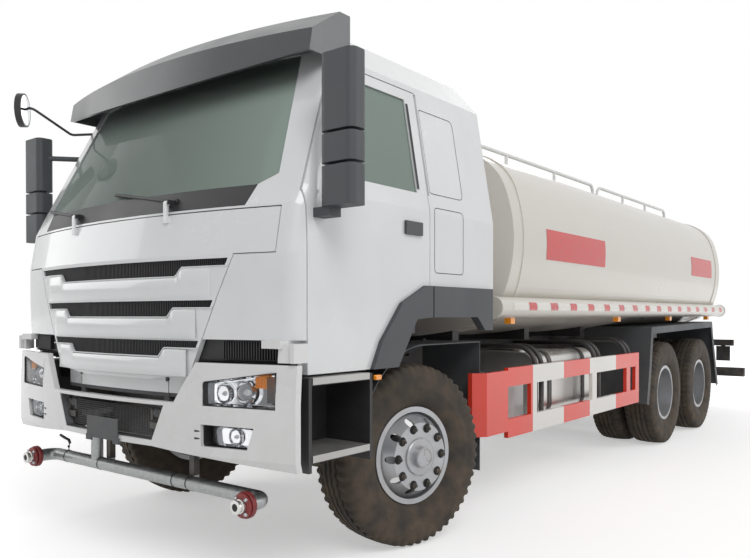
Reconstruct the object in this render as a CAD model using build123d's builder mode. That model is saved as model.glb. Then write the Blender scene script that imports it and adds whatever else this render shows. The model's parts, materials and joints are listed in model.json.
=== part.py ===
"""Six-wheeled cab-over water tanker truck, in millimetres.

The truck faces -Y with its left side at +X, and stands on its tyres at Z = 0.
Stations along the truck (y) are counted from the front axle, rearward positive,
and place() turns them into the part's own frame, whose origin is in the middle.
"""
from build123d import *
import os
from math import cos, radians, sin, sqrt

os.makedirs("parts", exist_ok=True)

# Whole truck
front_reach = 1400
rear_reach = 8530
axle_y = (front_reach - rear_reach) / 2
body_half = 1246
overrun = 60
skin_gap = 0.3
fit_gap = 0.3
seam = 6
sheet = 5

# Wheels and axles
wheelbase = 4600
bogie_spacing = 1350
tyre_radius = 535
tyre_width = 300
bead_radius = 266
rim_lip_radius = 284
rim_width = 240
rim_sheet = 12
disc_offset = 172.5
front_wheel_x = 1015
twin_wheel_x = 912
twin_gap = 345
kingpin_x = 905
steer_rest = 14
hand_holes = 10
hand_hole_radius = 22
hand_hole_circle = 205
disc_root = 70
disc_knee = 190
hub_proud = 42
hub_cap = 30
hub_reach = 130
hub_depth = 235
drum_gap = 15
spindle_length = 130
tie_pin_length = 55
hub_radius = 105
hub_cap_radius = 62
spindle_radius = 48

# Chassis frame
frame_half = 430
frame_flange = 80
frame_web = 9
frame_foot_z = 770
frame_top_z = 1050
frame_front_y = -1100
frame_rear_y = 8230
bearer_height = 90

# Cab envelope: the front is bowed about an upright axis far behind the cab
bow_radius = 4200
nose_y = -1345
cab_back_y = 750
cab_half = 1215
cab_wall = 42
corner_round = 95
cab_foot_z = 1235
door_foot_z = 1072
lid_foot_z = 1022
lid_corner_z = 1052
crease_z = 1652
lid_top_z = 1868
screen_foot_z = 1885
belt_z = 1950
gutter_z = 2690
screen_head_z = 2735
roof_edge_z = 2900
roof_top_z = 2962
screen_foot_y = -1303
screen_head_y = -866
roof_front_y = -690
roof_crown_y = -420
gutter_x = 1092
roof_edge_x = 905
roof_crown_x = 640
bow_centre_y = nose_y + bow_radius

# Doors
door_front_y = -1086
door_rear_y = -24
door_head_z = 2650
door_gap = 7
door_rear_gap = 12
jamb_depth = 16
jamb_relief = 10
seal_lap = 8
seal_width = 15
seal_thick = 10
hinge_relief = 90
glass_thick = 6
glass_set = 8

# Cab openings
bulkhead_thick = 43
bulkhead_half = 1128
bulkhead_back_y = -1000
lid_thick = 30
lid_pocket = 44
lid_foot_half = 598
lid_shoulder_half = 880
lid_arm_half = 1108
lid_lap = 40
buffer_radius = 14
lid_hinge_x = 430
lid_hinge_y = -1292
lid_hinge_z = 1930
lid_hinge_radius = 14
lid_hinge_pin = 6
lid_lug_half = 14
lid_ear = 10
scarf_share = 0.5
cowl_half = 913
cowl_flare = 27
cowl_top_z = 1992
screen_foot_half = 1034
screen_kink_z = 2042
screen_head_half = 888
pillar_head_y = -742
window_foot_y = -925
window_foot_z = 2048
window_quarter = 70
window_head_y = -668
window_head_z = 2592
window_rear_y = -128
rear_light_half = 330
rear_light_foot_z = 1960
rear_light_height = 420
berth_panel_y = -8
berth_panel_z = 2062
berth_panel_length = 395
berth_panel_height = 500
berth_panel_depth = 12
berth_panel_round = 45

# Cab fittings
visor_lip_y = -1092
visor_lip_z = 2600
visor_end_z = 2672
visor_crease_y = -1056
visor_crease_z = 2788
visor_peak_y = -850
visor_peak_z = 2930
visor_back_y = -600
visor_half = 1086
visor_sheet = 18
wiper_y = -1262
wiper_z = 1938
wiper_rod = 9
wiper_reach = 560
wiper_rise = 96
mirror_reach = 1462
mirror_inner_x = 1262
mirror_front_y = -1062
mirror_back_y = -942
mirror_top_z = 2572
mirror_split_z = 2196
mirror_low_split_z = 2048
mirror_foot_z = 1862
mirror_gap = 14
mirror_round = 38
mirror_arm_radius = 17
mirror_arm_x = 1296
mirror_arm_head_z = 2440
mirror_arm_back_y = -770
mirror_bracket = 44
round_mirror_radius = 112
round_mirror_x = 1345
round_mirror_y = -1130
round_mirror_z = 2752
round_mirror_thick = 42
handle_y = -282
handle_length = 165
handle_z = 1802
handle_height = 74
handle_proud = 16
arch_proud = 26
arch_depth = 52
floor_front_y = -1240
floor_z = 1248
floor_thick = 42
rest_y = 560
rest_half = 70
rest_height = 60
berth_floor_z = 1480
tunnel_half = 445
tunnel_wall = 34
tunnel_front_y = -985
tunnel_top_z = 1482
dash_back_y = -775
dash_top_z = 1835
dash_brow_z = 1905
dash_foot_z = 1440
seat_x = 640
seat_half = 255
seat_front_y = -640
seat_back_y = -140
seat_base_z = 1545
cushion_thick = 120
seat_base_half = 190
backrest_lean = 110
backrest_height = 700
berth_front_y = 40
berth_thick = 130
steering_y = -690
steering_z = 1905
steering_radius = 225
steering_rim = 15
steering_hub = 60
steering_tilt = 62
column_radius = 34
column_length = 210

# Front lid and grille
bar_half_shares = [1, 0.893, 0.779]
bar_tops_z = [1632, 1428, 1226]
bar_half = 852
bar_step_share = 0.66
bar_height = 36
bar_drop = 46
bar_slant = 38
grille_back = 9

# Wheel arch of the cab
arch_top_z = 1521
arch_front_y = -598
arch_shin_y = -520
arch_shin_z = 1215
arch_brow_y = -330
arch_brow_z = 1420
arch_crown_y = -90
arch_rear_y = 700
arch_heel_z = 1255
arch_heel = 100
arch_lip_z = 1340
arch_inner_y = -372
round_arm_y = -760
round_arm_x = 1032
round_arm_z = 2610
wiper_lift = 22
dash_nose = 60
dash_end = 25
bumper_side = 95

# Bumper
bumper_lead = 47
bumper_wall = 34
bumper_foot_z = 626
bumper_mid_foot_z = 686
bumper_side_top_z = 1222
bumper_back_y = -1120
lip_z = 918
ledge_drop = 14
ledge_half = 335
lip_half = 556
shoulder_half = 690
step_panel_y = -1283
step_panel_thick = 20
step_panel_top_z = 1045
step_panel_half = 568
intake_top_z = 899
intake_foot_z = 716
intake_top_half = 487
intake_foot_half = 402
bumper_arm = 30
bumper_side_wall = 24
bumper_corner_z = 1122
bumper_corner_x = 1150
corner_piece_z = 1132
lamp_inner_x = 742
lamp_outer_x = 1146
lamp_foot_z = 913
lamp_inner_top_z = 1030
lamp_outer_top_z = 1088
lamp_set = 12
lamp_thick = 22
fog_inner_x = 732
fog_outer_x = 1033
fog_foot_z = 716
fog_top_z = 822
plate_bracket_half = 145
plate_bracket_foot_z = 684
plate_bracket_top_z = 802
front_plate_thick = 6
plate_bracket_thick = 8

# Cab steps
step_outer_x = 1244
step_inner_x = 930
step_front_y = -1112
step_back_y = -616
step_top_z = 1056
step_tread = 34
step_low_z = 690
step_foot_z = 612
step_side = 22

# Front spray bar
spray_y = -1118
spray_z = 452
spray_radius = 38
spray_elbow = 62
nozzle_tip_y = -1322
nozzle_flange_radius = 62
nozzle_flange = 20
nozzle_radius = 30
post_radius = 18

# Running gear
beam_z = 420
beam_depth = 104
beam_width = 96
beam_drop_x = 640
knuckle_eye = 50
knuckle_eye_height = 120
kingpin_radius = 24
steer_relief = 88
yoke_thick = 26
yoke_gap = 0.5
drum_radius = 205
drum_length = 105
steer_arm = 158
steer_arm_z = 438
tie_rod_radius = 19
tie_eye_radius = 26
tie_pin_radius = 13
axle_tube_radius = 82
banjo_radius = 215
banjo_length = 260
leaf_thick = 20
leaf_width = 76
front_spring_half = 790
front_spring_camber = 120
front_spring_leaf_shares = [1, 0.86, 0.68, 0.48, 0.3]
rear_spring_leaf_shares = [1, 0.93, 0.82, 0.68, 0.52, 0.36]
rear_spring_camber = 70
rear_spring_x = 506
rear_leaf_width = 92
shaft_radius = 48
engine_half = 320
engine_front_y = -760
engine_back_y = 520
engine_foot_z = 560
engine_top_z = 1405
gearbox_half = 210
gearbox_back_y = 1280
gearbox_top_z = 1010
radiator_half = 420
radiator_front_y = -1090
radiator_thick = 110
radiator_foot_z = 650
radiator_top_z = 1222

# Side equipment
guard_x = 1190
guard_thick = 30
guard_front_y = 660
guard_rear_y = 3700
guard_foot_z = 515
guard_top_z = 992
guard_rail = 128
guard_post = 100
guard_lead = 300
guard_return = 70
hoop_radius = 19
hoop_bend = 150
hoop_top_z = 1122
hoop_foot_z = 560
fuel_front_y = 1660
fuel_rear_y = 2860
fuel_inner_x = 470
fuel_outer_x = 1075
fuel_foot_z = 560
fuel_top_z = 1062
fuel_round = 95
fuel_strap = 60
fuel_strap_thick = 7
battery_front_y = 1240
battery_rear_y = 1545
battery_foot_z = 520
battery_top_z = 905
battery_outer_x = 1052
air_tank_radius = 135
air_tank_x = 760
air_tank_z = 800
silencer_front_y = 1010
silencer_rear_y = 1560
silencer_inner_x = 560
silencer_outer_x = 1060
silencer_foot_z = 500
silencer_top_z = 960

# Rear end
mud_inner_x = 574
mud_outer_x = 1246
mud_sheet = 6
mud_lip = 62
mud_front_y = 4010
mud_front_top_z = 1224
mud_shin_y = 3868
mud_foot_z = 480
mud_rear_y = 6385
mud_rear_top_z = 1262
mud_tail_y = 6700
fender_radius = 640
fender_inner_x = 720
fender_outer_x = 1162
flap_y = 668
flap_foot_z = 335
lamp_bar_y = 8262
lamp_bar_half = 1100
lamp_bar_foot_z = 905
lamp_bar_height = 88
lamp_bar_depth = 62
tail_lamp_length = 300
underrun_y = 8440
underrun_foot_z = 455
underrun_height = 125
underrun_half = 1205
underrun_arm = 60
plate_holder_x = 955
plate_holder_half = 92
platform_half = 560
platform_front_y = 7420
platform_thick = 40
ladder_half = 200
ladder_y = 7480
ladder_radius = 16

# Tank fittings
rim_band = 55
rim_proud = 7
hose_tube_x = 1161
hose_tube_z = 1405
hose_tube_radius = 74
hose_tube_front_y = 850
hose_tube_rear_y = 7125
manhole_stations = [2350, 5450]
manhole_radius = 255
manhole_neck = 70
manhole_lid_radius = 280
manhole_lid_thick = 14
rail_x = 550
rail_rise = 135
rail_radius = 16
rail_post_radius = 14
rail_bend = 90
catwalk_half = 235
catwalk_thick = 6
catwalk_foot = 40
saddle_thick = 90
saddle_half = 700
saddle_top_z = 1330
saddle_stations = [1150, 2350, 3600, 4750, 5900, 6950]
marker_stations = [1117, 3278, 4896, 6500]
marker_half = 32
marker_height = 40
pipe_radius = 36
pipe_x = -482
pipe_z = 905
pump_y = 3080
pump_radius = 112
pump_length = 240
spring_x = 390
spring_pad = 20
hanger = 70
trunnion_radius = 62
shaft_start_z = 800
tank_corner_share = 0.87
tank_corner_top = 585
tank_corner_foot = 560
manhole_ear_x = 60
manhole_hinge = 315
manhole_boss = 13
platform_rear_y = 8190
rail_sink = 56
rail_runs = [(1250, 4280), (4400, 6850)]
walk_runs = [(1400, 2020), (2790, 5120), (5890, 6700)]
guard_plate_foot_z = 560
guard_plate_top_z = 975
guard_posts = [1320, 2500, 3350, 3600]
hoop_stations = [1500, 1600, 2670, 2770, 3450, 3550]
hoop_root_z = 1100
air_tank_runs = [(1750, 2500), (2560, 2960)]
mud_knee_z = 760
fender_sweep_share = 0.35
plate_holder_foot_z = 684
ladder_top_y = 7235
ladder_end_y = 6900
ladder_rungs = 5
pump_x = 560
nozzle_x = 967
nozzle_root_y = -1262

# Tank
tank_front_y = 935
tank_rear_y = 7165
tank_half = 1190
tank_middle_z = 1872
tank_top_z = 2662
tank_foot_z = 1175
tank_dish = 185
tank_corner_round = 430

# Tilt hinge of the cab
tilt_y = -1300
tilt_z = 850
tilt_pin = 24
tilt_boss = 38
tilt_x = 390
tilt_arm_half = 20
tilt_ear = 16
tilt_arm_width = 60
tilt_arm_set = 32


def place(x, y, z):
    """Point in the part's frame, from a station counted from the front axle."""
    return (x, axle_y + y, z)


def deck(z=0):
    """Level plane: local axes X and Y."""
    return Plane(origin=place(0, 0, z))


def flank(x=0):
    """Upright plane along the truck: local axes Y and Z, facing +X."""
    return Plane(origin=place(x, 0, 0), x_dir=(0, 1, 0), z_dir=(1, 0, 0))


def cross(y=0):
    """Upright plane across the truck: local axes X and Z, facing forward."""
    return Plane(origin=place(0, y, 0), x_dir=(1, 0, 0), z_dir=(0, -1, 0))


def block(x, y, z, mode=Mode.ADD):
    """Box between three (low, high) pairs, joined to the open part."""
    with Locations(place(sum(x) / 2, sum(y) / 2, sum(z) / 2)):
        Box(x[1] - x[0], y[1] - y[0], z[1] - z[0], mode=mode)


def plate(plane, points, amount, mode=Mode.ADD, both=False, rounding=0):
    """Straight-edged outline on a plane, extruded into the open part."""
    with BuildSketch(plane) as outline:
        with BuildLine():
            Polyline(*points, close=True)
        make_face()
        if rounding:
            fillet(outline.vertices(), rounding)
    extrude(outline.sketch, amount=amount, both=both, mode=mode)


def rod(start, end, radius, mode=Mode.ADD):
    """Round bar between two stations, joined to the open part."""
    begin = Vector(*place(*start))
    run = Vector(*place(*end)) - begin
    with BuildSketch(Plane(origin=begin, z_dir=run)) as section:
        Circle(radius)
    extrude(section.sketch, amount=run.length, mode=mode)


def bent_tube(points, bends, radius):
    """Round tube along straight runs joined by arcs, joined to the open part."""
    stations = [place(*point) for point in points]
    with BuildLine() as route:
        FilletPolyline(*stations, radius=bends)
    with BuildSketch(Plane(origin=route.line @ 0, z_dir=route.line % 0)) as section:
        Circle(radius)
    sweep(section.sketch, path=route.line)


def mirrored(points):
    """Outline of both halves from the points of the left half."""
    return points + [(-x, z) for x, z in reversed(points)]


def finish(part, name):
    """Label a piece and write it."""
    part.label = name
    export_step(part, f"parts/{name}.step")


# Envelope of the cab
bow_axis = Axis(place(0, bow_centre_y, 0), (0, 0, 1))
cab_profile = [
    (nose_y + (screen_foot_z - lid_top_z), lid_foot_z - overrun),
    (nose_y, (lid_foot_z + lid_top_z) / 2),
    (nose_y, crease_z),
    (screen_foot_y, screen_foot_z),
    (screen_head_y, screen_head_z),
    (roof_front_y, roof_edge_z),
    (roof_crown_y, roof_top_z),
    (cab_back_y + overrun, roof_top_z),
    (cab_back_y + overrun, lid_foot_z - overrun),
]
cab_outline = mirrored([
    (cab_half, lid_foot_z - overrun),
    (cab_half, belt_z),
    (gutter_x, gutter_z),
    (roof_edge_x, roof_edge_z),
    (roof_crown_x, roof_top_z),
])


def bowed(profile, mode=Mode.ADD):
    """Closed (y, z) profile carried round the bow's axis, joined to the open part."""
    with BuildSketch(flank()) as section:
        with BuildLine():
            Polyline(*profile, close=True)
        make_face()
    revolve(section.sketch, axis=bow_axis, mode=mode)


def cab_solid(inset, rounding=0):
    """Solid cab, drawn in from its outer skin by the given inset."""
    with BuildPart() as envelope:
        with BuildSketch(flank()) as side:
            with BuildLine():
                Polyline(*cab_profile, close=True)
            make_face()
            if inset:
                offset(amount=-inset, kind=Kind.INTERSECTION)
        revolve(side.sketch, axis=bow_axis)
        with BuildSketch(cross(cab_back_y - inset)) as front:
            with BuildLine():
                Polyline(*cab_outline, close=True)
            make_face()
            if inset:
                offset(amount=-inset, kind=Kind.INTERSECTION)
        extrude(front.sketch, amount=cab_back_y - nose_y + overrun, mode=Mode.INTERSECT)
        if rounding:
            corners = [
                edge for edge in envelope.edges()
                if edge.center().Y < axle_y + roof_crown_y
                and edge.bounding_box().min.Z < gutter_z - rounding
                and edge.bounding_box().size.Z > cab_wall
                and abs(edge.center().X) > roof_edge_x
            ]
            fillet(corners, rounding)
    return envelope.part


cab_outer = cab_solid(0, corner_round)
cab_inner = cab_solid(cab_wall, corner_round - cab_wall)
bulkhead_inner = cab_solid(cab_wall + bulkhead_thick)

# Outlines on the cab's sides, as (y, z)
door_points = [
    (door_front_y, door_foot_z),
    (door_front_y, belt_z),
    (pillar_head_y, door_head_z),
    (door_rear_y, door_head_z),
    (door_rear_y, arch_top_z),
    (arch_crown_y, arch_top_z),
    (arch_brow_y, arch_brow_z),
    (arch_shin_y, arch_shin_z),
    (arch_front_y, door_foot_z),
]
window_points = [
    (window_foot_y, window_foot_z),
    (window_foot_y + window_quarter, window_foot_z + 2 * window_quarter),
    (window_head_y, window_head_z),
    (window_rear_y, window_head_z),
    (window_rear_y, window_foot_z),
]
arch_points = [
    (arch_front_y, door_foot_z),
    (arch_shin_y, arch_shin_z),
    (arch_brow_y, arch_brow_z),
    (arch_crown_y, arch_top_z),
    (arch_rear_y, arch_top_z),
    (arch_rear_y, arch_heel_z),
    (arch_rear_y - arch_heel, arch_heel_z),
    (arch_rear_y - 2 * arch_heel, arch_lip_z),
    (arch_crown_y + arch_heel / 2, arch_lip_z),
    (arch_crown_y - arch_heel, (arch_lip_z + arch_brow_z) / 2 - arch_heel / 2),
    (arch_inner_y, door_foot_z),
]


def side_outline(points, grow=0, rounding=0):
    """Closed face from (y, z) points on the truck's middle plane, grown outward."""
    with BuildSketch(flank()) as outline:
        with BuildLine():
            Polyline(*points, close=True)
        make_face()
        if rounding:
            fillet(outline.vertices(), rounding)
        if grow:
            offset(amount=grow, kind=Kind.INTERSECTION)
    return outline.sketch


def front_outline(points, grow=0, rounding=0):
    """Closed face from (x, z) points on the front axle's upright plane."""
    with BuildSketch(cross()) as outline:
        with BuildLine():
            Polyline(*points, close=True)
        make_face()
        if rounding:
            fillet(outline.vertices(), rounding)
        if grow:
            offset(amount=grow, kind=Kind.INTERSECTION)
    return outline.sketch


screen_points = mirrored([
    (cowl_half, screen_foot_z),
    (cowl_half + cowl_flare, cowl_top_z),
    (screen_foot_half, screen_kink_z),
    (screen_head_half, screen_head_z - seam),
])
grille_points = mirrored([
    (lid_foot_half / 2, lid_foot_z),
    (lid_foot_half, lid_corner_z),
    (lid_shoulder_half, crease_z - seam),
    (lid_shoulder_half, crease_z + lid_lap),
])


def lid_zone(grow):
    """Space of the front lid: a full-width band above a tapering grille panel."""
    depth = lid_pocket + screen_foot_y - nose_y
    with BuildPart() as zone:
        bowed([
            (nose_y - overrun, crease_z - grow - overrun * scarf_share),
            (nose_y + depth, crease_z - grow + depth * scarf_share),
            (nose_y + depth, lid_top_z + grow),
            (nose_y - overrun, lid_top_z + grow),
        ])
        block((-lid_arm_half - grow, lid_arm_half + grow), (nose_y - overrun, door_front_y),
              (lid_foot_z, screen_foot_z), mode=Mode.INTERSECT)
        extrude(front_outline(grille_points, grow), amount=-nose_y + overrun)
    return zone.part


# Parts of the cab's front wall: a second skin behind the lid, and the lid's pocket
with BuildPart() as bulkhead:
    add(cab_inner)
    add(bulkhead_inner, mode=Mode.SUBTRACT)
    block((-bulkhead_half, bulkhead_half), (nose_y, bulkhead_back_y), (cab_foot_z, lid_top_z),
          mode=Mode.INTERSECT)
with BuildPart() as pocket:
    add(cab_outer)
    add(cab_solid(lid_pocket), mode=Mode.SUBTRACT)
    add(lid_zone(seam), mode=Mode.INTERSECT)

# Sealing strip round each door opening, behind the door's edge but clear of its hinged edge's swing
with BuildPart() as seals:
    extrude(side_outline(door_points, door_gap + seal_lap), amount=body_half, both=True)
    extrude(side_outline(door_points, -seal_width), amount=body_half, both=True, mode=Mode.SUBTRACT)
    block((-body_half, body_half), (door_front_y - overrun, overrun),
          (door_foot_z - seam, door_head_z + overrun), mode=Mode.INTERSECT)
    extrude(side_outline([
        (door_front_y, door_foot_z - overrun),
        (door_front_y, belt_z),
        (pillar_head_y, door_head_z),
        (pillar_head_y, door_head_z + seam),
        (pillar_head_y + hinge_relief, door_head_z + seam),
        (door_front_y + hinge_relief, belt_z),
        (door_front_y + hinge_relief, door_foot_z - overrun),
    ]), amount=body_half, both=True, mode=Mode.SUBTRACT)
    add(cab_inner, mode=Mode.INTERSECT)
    add(cab_solid(cab_wall + seal_thick), mode=Mode.SUBTRACT)
    block((-screen_head_half, screen_head_half), (nose_y, overrun), (0, roof_top_z), mode=Mode.SUBTRACT)

# Buffers that the closed lid rests against
with BuildPart() as lid_stops:
    for side in (-1, 1):
        for buffer_x, buffer_z in ((lid_shoulder_half, lid_top_z - overrun),
                                   (lid_foot_half / 2, cab_foot_z + overrun)):
            rod((side * buffer_x, nose_y - overrun, buffer_z), (side * buffer_x, door_front_y, buffer_z),
                buffer_radius)
    add(cab_solid(lid_thick + skin_gap), mode=Mode.INTERSECT)
    add(cab_solid(lid_pocket + seam), mode=Mode.SUBTRACT)

# Walls of the cab between the floor and the gutter
with BuildPart() as cab_shell:
    add(cab_outer)
    add(cab_inner, mode=Mode.SUBTRACT)
    add(bulkhead.part)
    add(pocket.part, mode=Mode.SUBTRACT)
    block((-body_half, body_half), (nose_y - overrun, cab_back_y + overrun), (0, cab_foot_z),
          mode=Mode.SUBTRACT)
    block((-body_half, body_half), (nose_y - overrun, cab_back_y + overrun),
          (gutter_z, roof_top_z + overrun), mode=Mode.SUBTRACT)
    block((-body_half, body_half), (door_front_y - door_gap, cab_back_y + overrun), (0, arch_top_z),
          mode=Mode.SUBTRACT)
    extrude(front_outline(screen_points), amount=-nose_y + overrun, mode=Mode.SUBTRACT)
    extrude(side_outline(door_points, door_gap), amount=body_half, both=True, mode=Mode.SUBTRACT)
    block((-cab_half + jamb_depth, cab_half - jamb_depth),
          (door_rear_y, door_rear_y + door_rear_gap + jamb_relief),
          (arch_top_z, door_head_z), mode=Mode.SUBTRACT)
    block((-rear_light_half, rear_light_half), (0, cab_back_y + overrun),
          (rear_light_foot_z, rear_light_foot_z + rear_light_height), mode=Mode.SUBTRACT)
    for side in (-1, 1):
        plate(flank(side * cab_half), [
            (berth_panel_y, berth_panel_z),
            (berth_panel_y, berth_panel_z + berth_panel_height),
            (berth_panel_y + berth_panel_length, berth_panel_z + berth_panel_height),
            (berth_panel_y + berth_panel_length, berth_panel_z),
        ], -side * berth_panel_depth, mode=Mode.SUBTRACT, rounding=berth_panel_round)
    add(seals.part)
    add(lid_stops.part)
finish(cab_shell.part, "cab_shell")

# Roof above the gutter
with BuildPart() as cab_roof:
    add(cab_outer)
    add(cab_inner, mode=Mode.SUBTRACT)
    block((-body_half, body_half), (nose_y - overrun, cab_back_y + overrun),
          (gutter_z, roof_top_z + overrun), mode=Mode.INTERSECT)
    extrude(front_outline(screen_points), amount=-nose_y + overrun, mode=Mode.SUBTRACT)
finish(cab_roof.part, "cab_roof")

# Step panel under the lid, between the arms of the tilt hinge
with BuildPart() as step_panel:
    bowed([
        (step_panel_y, lip_z + 2 * seam),
        (step_panel_y, step_panel_top_z),
        (step_panel_y + step_panel_thick, step_panel_top_z),
        (step_panel_y + step_panel_thick, lip_z + 2 * seam),
    ])
    block((-step_panel_half, step_panel_half), (nose_y, door_front_y), (0, step_panel_top_z),
          mode=Mode.INTERSECT)

# Floor, stepped up behind the seats, with a tunnel over the engine
with BuildPart() as cab_floor:
    plate(flank(), [
        (floor_front_y, floor_z),
        (arch_crown_y, floor_z),
        (arch_crown_y, berth_floor_z),
        (cab_back_y, berth_floor_z),
        (cab_back_y, berth_floor_z + floor_thick),
        (arch_crown_y - floor_thick, berth_floor_z + floor_thick),
        (arch_crown_y - floor_thick, floor_z + floor_thick),
        (floor_front_y, floor_z + floor_thick),
    ], cab_half - cab_wall - 2 * door_gap, both=True)
    block((-tunnel_half, tunnel_half), (tunnel_front_y, arch_crown_y), (floor_z, tunnel_top_z + tunnel_wall))
    block((-tunnel_half + tunnel_wall, tunnel_half - tunnel_wall),
          (tunnel_front_y + tunnel_wall, cab_back_y), (0, tunnel_top_z), mode=Mode.SUBTRACT)
    add(cab_inner, mode=Mode.INTERSECT)
    for side in (-1, 1):
        centre = side * tilt_x
        plate(flank(centre), [
            (tilt_y - tilt_boss / 2, tilt_z - tilt_boss / 2),
            (tilt_y - tilt_boss / 2, tilt_z + tilt_boss / 2),
            (tilt_y + tilt_arm_set, tilt_z + 3 * tilt_boss / 2),
            (tilt_y + tilt_arm_set, floor_z),
            (tilt_y + tilt_arm_set + 2 * tilt_arm_width, floor_z + floor_thick / 2),
            (tilt_y + tilt_arm_set + 2 * tilt_arm_width, floor_z - tilt_arm_width),
            (tilt_y + tilt_arm_set + tilt_arm_width, floor_z - 2 * tilt_arm_width),
            (tilt_y + tilt_arm_set + tilt_arm_width, tilt_z + 2 * tilt_boss),
            (tilt_y + tilt_boss / 2, tilt_z - tilt_boss / 2),
        ], tilt_arm_half, both=True)
        rod((centre - tilt_arm_half, tilt_y, tilt_z), (centre + tilt_arm_half, tilt_y, tilt_z), tilt_boss)
        rod((centre - tilt_arm_half, tilt_y, tilt_z), (centre + tilt_arm_half, tilt_y, tilt_z),
            tilt_pin + fit_gap, mode=Mode.SUBTRACT)
        block(sorted((side * (frame_half - frame_flange), side * frame_half)),
              (rest_y - rest_half, rest_y + rest_half), (berth_floor_z - rest_height, berth_floor_z))
    add(bulkhead.part, mode=Mode.SUBTRACT)
    for side in (-1, 1):
        centre = side * seat_x
        block((centre - seat_base_half, centre + seat_base_half),
              (seat_front_y + cushion_thick, seat_back_y), (floor_z + floor_thick, seat_base_z))
    add(step_panel.part)
finish(cab_floor.part, "cab_floor")

# Windscreen, and the small light in the back wall
with BuildPart() as windscreen:
    add(cab_solid(glass_set))
    add(cab_solid(glass_set + glass_thick), mode=Mode.SUBTRACT)
    extrude(front_outline(screen_points, -skin_gap), amount=-nose_y + overrun, mode=Mode.INTERSECT)
    block((-body_half, body_half), (nose_y, 0), (cowl_top_z + skin_gap, gutter_z + overrun),
          mode=Mode.INTERSECT)
    block((-rear_light_half + skin_gap, rear_light_half - skin_gap),
          (cab_back_y - glass_set - glass_thick, cab_back_y - glass_set),
          (rear_light_foot_z + skin_gap, rear_light_foot_z + rear_light_height - skin_gap))
finish(windscreen.part, "windscreen")

# Black cowl panel at the foot of the windscreen, with the wiper arms parked on it
with BuildPart() as cowl:
    add(cab_outer)
    add(cab_solid(cab_wall / 2), mode=Mode.SUBTRACT)
    extrude(front_outline(screen_points, -skin_gap), amount=-nose_y + overrun, mode=Mode.INTERSECT)
    block((-body_half, body_half), (nose_y, 0), (screen_foot_z, cowl_top_z), mode=Mode.INTERSECT)
    for side in (-1, 1):
        centre = side * lid_hinge_x
        for ear_x in (-lid_lug_half - seam / 2 - lid_ear, lid_lug_half + seam / 2):
            plate(flank(centre + ear_x), [
                (lid_hinge_y - lid_hinge_radius, lid_hinge_z - lid_hinge_radius / 2),
                (lid_hinge_y - lid_hinge_radius, lid_hinge_z + lid_hinge_radius),
                (lid_hinge_y + cab_wall + lid_hinge_radius, lid_hinge_z + lid_hinge_radius),
                (lid_hinge_y + cab_wall, lid_hinge_z - lid_hinge_radius / 2),
            ], lid_ear)
        rod((centre - lid_lug_half - lid_ear, lid_hinge_y, lid_hinge_z),
            (centre + lid_lug_half + lid_ear, lid_hinge_y, lid_hinge_z), lid_hinge_pin)

# Sun visor: a smoked shell over the head of the windscreen, closed at its ends
visor_profile = [
    (visor_lip_y, visor_lip_z),
    (visor_crease_y, visor_crease_z),
    (visor_peak_y, visor_peak_z),
    (visor_back_y, visor_peak_z),
    (visor_back_y, visor_lip_z),
]
with BuildPart() as visor_hollow:
    bowed([(y + visor_sheet, z - visor_sheet) for y, z in visor_profile])
    block((-visor_half + visor_sheet, visor_half - visor_sheet), (nose_y, visor_back_y + overrun),
          (visor_lip_z - overrun, roof_top_z), mode=Mode.INTERSECT)
with BuildPart() as sun_visor:
    bowed(visor_profile)
    block((-visor_half, visor_half), (nose_y, visor_back_y), (visor_lip_z - overrun, roof_top_z),
          mode=Mode.INTERSECT)
    add(visor_hollow.part, mode=Mode.SUBTRACT)
    add(cab_outer, mode=Mode.SUBTRACT)
    with BuildSketch(cross()) as lip:
        with BuildLine():
            ThreePointArc((-visor_half, visor_end_z), (0, visor_lip_z), (visor_half, visor_end_z))
            Polyline((visor_half, visor_end_z), (visor_half, visor_lip_z - overrun),
                     (-visor_half, visor_lip_z - overrun), (-visor_half, visor_end_z))
        make_face()
    extrude(lip.sketch, amount=-nose_y + overrun, mode=Mode.SUBTRACT)
finish(sun_visor.part, "sun_visor")

# Front lid, with its three grille slots
with BuildPart() as lid_skin:
    add(cab_outer)
    add(cab_solid(lid_thick), mode=Mode.SUBTRACT)
    add(lid_zone(0), mode=Mode.INTERSECT)


def bar_points(share, top, margin):
    """One grille slot: thin at its ends, dropped between two steps."""
    half = bar_half * share + margin
    step = bar_half * share * bar_step_share + margin
    return mirrored([
        (step - bar_slant, top - bar_height - bar_drop - margin),
        (step, top - bar_height - margin),
        (half - bar_height / 2, top - bar_height - margin),
        (half, top + margin),
    ])


with BuildPart() as front_lid:
    add(lid_skin.part)
    for share, top in zip(bar_half_shares, bar_tops_z):
        extrude(front_outline(bar_points(share, top, 0)), amount=-nose_y + overrun,
                mode=Mode.SUBTRACT)
    for side in (-1, 1):
        centre = side * lid_hinge_x
        plate(flank(centre), [
            (lid_hinge_y - lid_hinge_radius, lid_top_z - lid_lap),
            (lid_hinge_y - lid_hinge_radius, lid_hinge_z),
            (lid_hinge_y, lid_hinge_z),
            (lid_hinge_y - seam / 2, lid_top_z - seam),
            (lid_hinge_y + lid_thick, lid_top_z - seam),
            (lid_hinge_y + seam, lid_top_z - lid_lap),
        ], lid_lug_half, both=True)
        rod((centre - lid_lug_half, lid_hinge_y, lid_hinge_z),
            (centre + lid_lug_half, lid_hinge_y, lid_hinge_z), lid_hinge_radius)
        rod((centre - lid_lug_half, lid_hinge_y, lid_hinge_z),
            (centre + lid_lug_half, lid_hinge_y, lid_hinge_z), lid_hinge_pin + fit_gap, mode=Mode.SUBTRACT)
finish(front_lid.part, "front_lid")

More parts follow.
